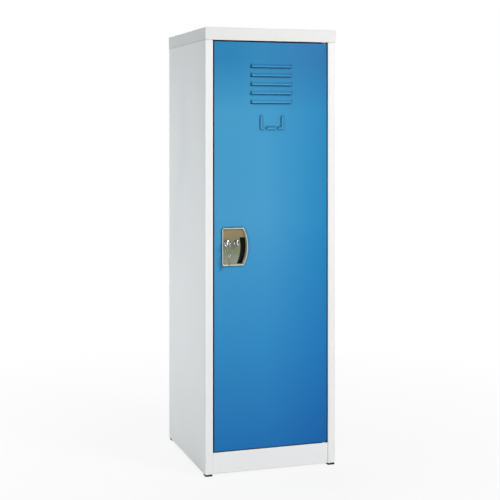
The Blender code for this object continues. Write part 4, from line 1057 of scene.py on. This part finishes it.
def hexagon(corner_radius):
    """A function that turns a lathe's round section into a hexagon where its radius is the hexagon's."""

    def reach(radius, angle):
        if abs(radius - corner_radius) > 1e-6:
            return radius
        return radius * math.cos(math.pi / 6) / math.cos((angle % (math.pi / 3)) - math.pi / 6)

    return reach


def hex_nut(node, bore):
    low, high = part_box(node)
    reach = (high.x - low.x) / 2
    face_radius = reach * math.cos(math.pi / 6) * NUT_FACE_SHARE
    profile = [
        (bore, low.y),
        (face_radius, low.y),
        (reach, low.y + NUT_CHAMFER),
        (reach, high.y - NUT_CHAMFER),
        (face_radius, high.y),
        (bore, high.y),
    ]
    shape = lathe(profile, "Y", box_centre(node, "Y"), 60, hexagon(reach))
    piece(node + "_hex", shape, "door", ZINC, [node])


def cam(node, body):
    """A stamped cam arm with a rounded top, clipped tip and square hole."""
    low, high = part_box(node)
    half = (high.x - low.x) / 2
    x, z = (low.x + high.x) / 2, high.z - half
    outline = arc((x, z), half, 0.0, math.pi, 20)
    outline += arc((x - half + CAM_TIP, low.z + CAM_TIP), CAM_TIP, 2 * QUARTER, 3 * QUARTER, 5)
    outline += arc((x + half - CAM_TIP, low.z + CAM_TIP), CAM_TIP, 3 * QUARTER, 4 * QUARTER, 5)
    loops = [outline, rectangle_round((x, z), CAM_HOLE_HALF, CAM_HOLE_HALF)]
    level, thickness = (low.y + high.y) / 2, high.y - low.y
    flat_plate(node + "_plate", loops, "Y", level, thickness, STAMPED_EDGE, body, ZINC, [node])


def cut_cross_recess(screw, centre, face):
    """Cuts a tapered cross into a screw's head, which faces the back."""
    for wide, tall in (RECESS_HALF, RECESS_HALF[::-1]):
        bm = bmesh.new()
        rings = []
        for share, proud in (RECESS_MOUTH, RECESS_BOTTOM):
            rings.append(ring_at(bm, rectangle_round(centre, wide * share, tall * share), "Y", face + proud))
        skin(bm, rings)
        cut(screw, bm)


def cam_screw(node, body):
    """A pan-head screw with a cross recess, its head on the far side."""
    low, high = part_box(node)
    centre = box_centre(node, "Y")
    head = (high.x - low.x) / 2
    rise = head * SCREW_HEAD_RISE
    seat = high.y - rise
    edge = seat + rise * SCREW_HEAD_EDGE
    profile = [(0, low.y), (SCREW_RADIUS, low.y), (SCREW_RADIUS, seat), (head, seat), (head, edge)]
    for i in range(1, SCREW_DOME_STEPS):
        angle = QUARTER * i / SCREW_DOME_STEPS
        profile.append((head * math.cos(angle) ** 0.6, edge + (high.y - edge) * math.sin(angle)))
    profile.append((0, high.y))
    screw = piece(node + "_head", lathe(profile, "Y", centre, 32), body, ZINC, [node])
    cut_cross_recess(screw, centre, high.y)


def hasp():
    """The padlock hasp: a flanged sleeve in the door, and a knob in it with a pierced lug."""
    floor_level = DOOR_FACE + CUP_FLOOR
    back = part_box("hasp_sleeve")[1].y
    sleeve = [
        (SLEEVE_BORE, floor_level - 0.0014),
        (0.0078, floor_level - 0.0014),
        (0.0084, floor_level - 0.0012),
        (0.0088, floor_level - 0.0007),
        (0.0088, FITTING_SEAT),
        (SLEEVE_RADIUS, FITTING_SEAT),
        (SLEEVE_RADIUS, back),
        (SLEEVE_BORE, back),
    ]
    piece("hasp_sleeve_body", lathe(sleeve, "Y", HASP, 56), "door", CHROME, ["hasp_sleeve"])
    low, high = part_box("hasp_knob")
    base = floor_level - 0.0017
    shoulder = back + GAP
    knob = [
        (0, base - 0.0022),
        (0.0060, base - 0.0022),
        (0.0068, base - 0.0020),
        (0.0073, base - 0.0015),
        (0.0074, base - 0.0009),
        (0.0074, base),
        (KNOB_SHANK, base),
        (KNOB_SHANK, shoulder),
        (SHAFT_RADIUS, shoulder),
        (SHAFT_RADIUS, high.y),
        (0, high.y),
    ]
    piece("hasp_knob_body", lathe(knob, "Y", HASP, 56), "hasp", CHROME, ["hasp_knob"])
    half = (high.z - low.z) / 2
    nose = (low.y + half, HASP[1])
    root = base - 0.0014
    outline = [(root, nose[1] - half), (root, nose[1] + half), *arc(nose, half, QUARTER, 3 * QUARTER, 24)]
    loops = [outline, circle(nose, EYE_HOLE, 28)]
    flat_plate("hasp_eye", loops, "X", HASP[0], EYE_THICKNESS, EYE_EDGE, "hasp", CHROME)


# ---------------------------------------------------------------- keys
KEY_BOW = 0.010
KEY_BOW_HOLE = 0.0068
KEY_HALF = 0.0037
KEY_THICKNESS = 0.0021
KEY_NECK_HALF = KEY_HALF * 1.25
KEY_SHOULDER = KEY_BOW + 0.0018
KEY_FIRST_CUT = KEY_SHOULDER + 0.0013
KEY_CUTS = (0.0011, 0.0005, 0.0015, 0.0008, 0.0012)
KEY_CUT_SPAN = 0.82
RING_WIRE = 0.00042
RING_TURNS = 1.93
RING_STEPS = 120
RING_PITCH = 0.00088
RING_START = math.radians(250)
RING_SIDES = 8
RING_HALF_HEIGHT = 1.2
RING_HALF_WIDTH = 0.92
RING_END_SHARE = 0.35


def key_outline(centre, way, length):
    """A key's outline from its bow to its tip: round bow, shouldered neck and a cut blade."""
    way = Vector(way)
    across = left_of(way)
    start = math.asin(KEY_NECK_HALF / KEY_BOW)
    points = arc((0.0, 0.0), KEY_BOW, start, math.tau - start, 32)
    points += [(KEY_SHOULDER, -KEY_NECK_HALF), (KEY_SHOULDER, -KEY_HALF)]
    pitch = (length - KEY_SHOULDER) * KEY_CUT_SPAN / len(KEY_CUTS)
    for i, depth in enumerate(KEY_CUTS):
        at = KEY_FIRST_CUT + pitch * i
        notch = depth - KEY_HALF
        points += [(at, -KEY_HALF), (at + pitch * 0.28, notch), (at + pitch * 0.62, notch)]
    points += [(length - 0.0022, -KEY_HALF), (length, -KEY_HALF * 0.1), (length - 0.0016, KEY_HALF)]
    points += [(KEY_SHOULDER, KEY_HALF), (KEY_SHOULDER, KEY_NECK_HALF)]
    return [tuple(Vector(centre) + way * along + across * side) for along, side in points]


def key(node, body, way):
    """A key whose blade points back (1, 0) or down (0, -1)."""
    low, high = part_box(node)
    middle_y, middle_z = (low.y + high.y) / 2, (low.z + high.z) / 2
    if way == (1, 0):
        centre = (low.y + KEY_BOW, middle_z)
        length = high.y - centre[0]
    else:
        centre = (middle_y, high.z - KEY_BOW)
        length = centre[1] - low.z
    loops = [key_outline(centre, way, length), circle(centre, KEY_BOW_HOLE, 32)]
    level = (low.x + high.x) / 2
    flat_plate(node + "_blank", loops, "X", level, KEY_THICKNESS, STAMPED_EDGE, body, POLISHED, [node])


def key_ring():
    """A split ring: nearly two turns of flattened wire side by side, thinner at both ends."""
    low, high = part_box("key_ring")
    centre = (low + high) / 2
    radius = (high.z - low.z) / 2 - RING_WIRE
    bm = bmesh.new()
    rings = []
    for i in range(RING_STEPS + 1):
        share = i / RING_STEPS
        angle = RING_START + math.tau * RING_TURNS * share
        outward = Vector((math.cos(angle), 0, math.sin(angle)))
        middle = centre + outward * radius + Vector((0, (share - 0.5) * RING_PITCH, 0))
        wire = RING_WIRE * (RING_END_SHARE if i in (0, RING_STEPS) else 1.0)
        section = [
            (wire * RING_HALF_HEIGHT * math.cos(turn), wire * RING_HALF_WIDTH * math.sin(turn))
            for turn in (math.tau * j / RING_SIDES for j in range(RING_SIDES))
        ]
        rings.append([bm.verts.new(middle + outward * out + Vector((0, aside, 0))) for out, aside in section])
    skin(bm, rings)
    piece("key_ring_wire", bm, "key_ring", POLISHED, ["key_ring"], weighted=False)


def door_hardware():
    handle_plate()
    lock_barrel()
    lock_plug()
    hex_nut("lock_nut", LOCK_NUT_BORE)
    hex_nut("hasp_nut", HASP_NUT_BORE)
    cam("lock_cam", "lock_cylinder")
    cam("hasp_cam", "hasp")
    cam_screw("lock_cam_screw", "lock_cylinder")
    cam_screw("hasp_cam_screw", "hasp")
    hasp()
    key("key", "key", (1, 0))
    key("spare_key", "spare_key", (0, -1))
    key_ring()


# ---------------------------------------------------------------- CAD nodes that stay as they are
NODE_MATERIALS = (
    ("shelf_ledge", GREY),
    ("foot_gusset", GREY),
    ("door_stiffener", BLUE),
    ("pin_bracket", BLUE),
    ("coat_rod", POLISHED),
    ("hinge_pin", POLISHED),
    ("hinge_bush", NYLON),
    ("door_bumper", RUBBER),
)


def dress_cad_nodes():
    """Smooth shading and a finish for the CAD nodes that are shown themselves: zinc, if none is listed."""
    for name, node in frame["nodes"].items():
        if node.hide_render:
            continue
        finish = next((material for start, material in NODE_MATERIALS if name.startswith(start)), ZINC)
        node.data.materials.clear()
        node.data.materials.append(finish)
        smooth(node)


# ---------------------------------------------------------------- studio
CAMERA_FROM_CENTRE = Vector((-1.0395, -3.0306))
CAMERA_HEIGHT = 0.9542
CAMERA_YAW = math.radians(17.166)
CAMERA_LENS = 78.86
CAMERA_SHIFT = (0.0696, -0.2504)
CAMERA_CLIP_END = 60
CAMERA_SPOT_TOLERANCE = 0.001
FLOOR_REACH = 12.0
FLOOR_TONES = ((0.3, (0.60, 0.60, 0.60)), (0.7, (0.63, 0.63, 0.63)))
SKY_TONES = (
    (0.40, (0.80, 0.80, 0.80)),
    (0.50, (0.26, 0.27, 0.28)),
    (0.62, (0.40, 0.41, 0.42)),
    (0.80, WHITE),
)
SKY_STRENGTH = 0.15

# Square area lights: name, place, what it points at, side, watts, colour
LIGHTS = (
    ("key", (2.80, -3.66, 2.85), (0.0, -0.17, 0.62), 1.3, 203, WHITE),
    ("fill", (-1.2, -2.0, 0.66), (-0.05, -0.17, 0.56), 0.9, 12.5, WHITE),
    ("side", (-1.6, 0.75, 0.74), (-0.19, 0.05, 0.70), 0.8, 17, (0.91, 0.97, 1.0)),
    ("back", (0.6, 3.2, 1.8), (0.0, 0.2, 0.7), 2.0, 60, WHITE),
)


def camera():
    """A level camera at the photo's angle. Its lens shift holds only at this spot; other views are centred.

    Other views move the camera, so the shift depends on where it is along X."""
    data = bpy.data.cameras.new("camera")
    data.lens = CAMERA_LENS
    data.clip_end = CAMERA_CLIP_END
    made = in_scene("camera", data)
    made.location = (CAMERA_FROM_CENTRE.x, MIDDLE_Y + CAMERA_FROM_CENTRE.y, CAMERA_HEIGHT)
    made.rotation_euler = (QUARTER, 0, -CAMERA_YAW)
    at_spot = f"abs(x - {made.location.x:.5f}) < {CAMERA_SPOT_TOLERANCE}"
    for path, shift in zip(("shift_x", "shift_y"), CAMERA_SHIFT):
        driver = data.driver_add(path).driver
        driver.type = "SCRIPTED"
        variable = driver.variables.new()
        variable.name = "x"
        variable.type = "TRANSFORMS"
        variable.targets[0].id = made
        variable.targets[0].transform_type = "LOC_X"
        driver.expression = f"{shift} if {at_spot} else 0.0"
    bpy.context.scene.camera = made


def area_light(name, spot, target, side, power, colour):
    data = bpy.data.lights.new(name, "AREA")
    data.size = side
    data.energy = power
    data.color = colour
    made = in_scene(name, data)
    made.location = spot
    made.rotation_euler = (Vector(target) - Vector(spot)).to_track_quat("-Z", "Y").to_euler()


def world():
    """Soft studio light all round, which the camera itself sees as plain white."""
    made = bpy.data.worlds.new("studio")
    bpy.context.scene.world = made
    made.use_nodes = True
    made.node_tree.nodes.clear()
    nodes = Nodes(made.node_tree, "Generated")
    sky = nodes.ramp(nodes.share("Z", -1.0, 1.0), SKY_TONES)
    lit = nodes.new("Background", Color=sky, Strength=SKY_STRENGTH)
    seen = nodes.new("Background", Color=(*WHITE, 1.0))
    both = nodes.mix_shaders(nodes.seen_by_camera(), lit.outputs["Background"], seen.outputs["Background"])
    nodes.new("OutputWorld", Surface=both)


def floor():
    """A wide matt floor that the camera sees as nearly white by the locker and plain white further off."""
    mesh = bpy.data.meshes.new("floor")
    corners = rectangle_round((0.0, 0.0), FLOOR_REACH, FLOOR_REACH)
    mesh.from_pydata([(x, y, 0.0) for x, y in corners], [], [(0, 1, 2, 3)])
    made = in_scene("floor", mesh)
    material, nodes = new_material("pale_floor")
    nodes.surface(Base_Color=nodes.ramp(nodes.noise(1.5), FLOOR_TONES), Roughness=0.9, Specular_IOR_Level=0.1)
    distance = nodes.new("VectorMath", Vector=nodes.coords)
    distance.operation = "LENGTH"
    far = nodes.map_range(distance.outputs["Value"], 0.35, 1.6, 0.88, 1.0)
    whiteness = nodes.compute("MULTIPLY", far, nodes.seen_by_camera())
    shaded = material.node_tree.nodes["Principled BSDF"].outputs["BSDF"]
    both = nodes.mix_shaders(whiteness, shaded, nodes.new("Emission").outputs["Emission"])
    nodes.give(material.node_tree.nodes["Material Output"].inputs["Surface"], both)
    mesh.materials.append(material)


def studio():
    world()
    floor()
    for light in LIGHTS:
        area_light(*light)
    camera()
    bpy.context.scene.view_settings.view_transform = "Standard"


# ---------------------------------------------------------------- assembly
cabinet()
door_sheet()
label_holder()
door_hardware()
dress_cad_nodes()
studio()
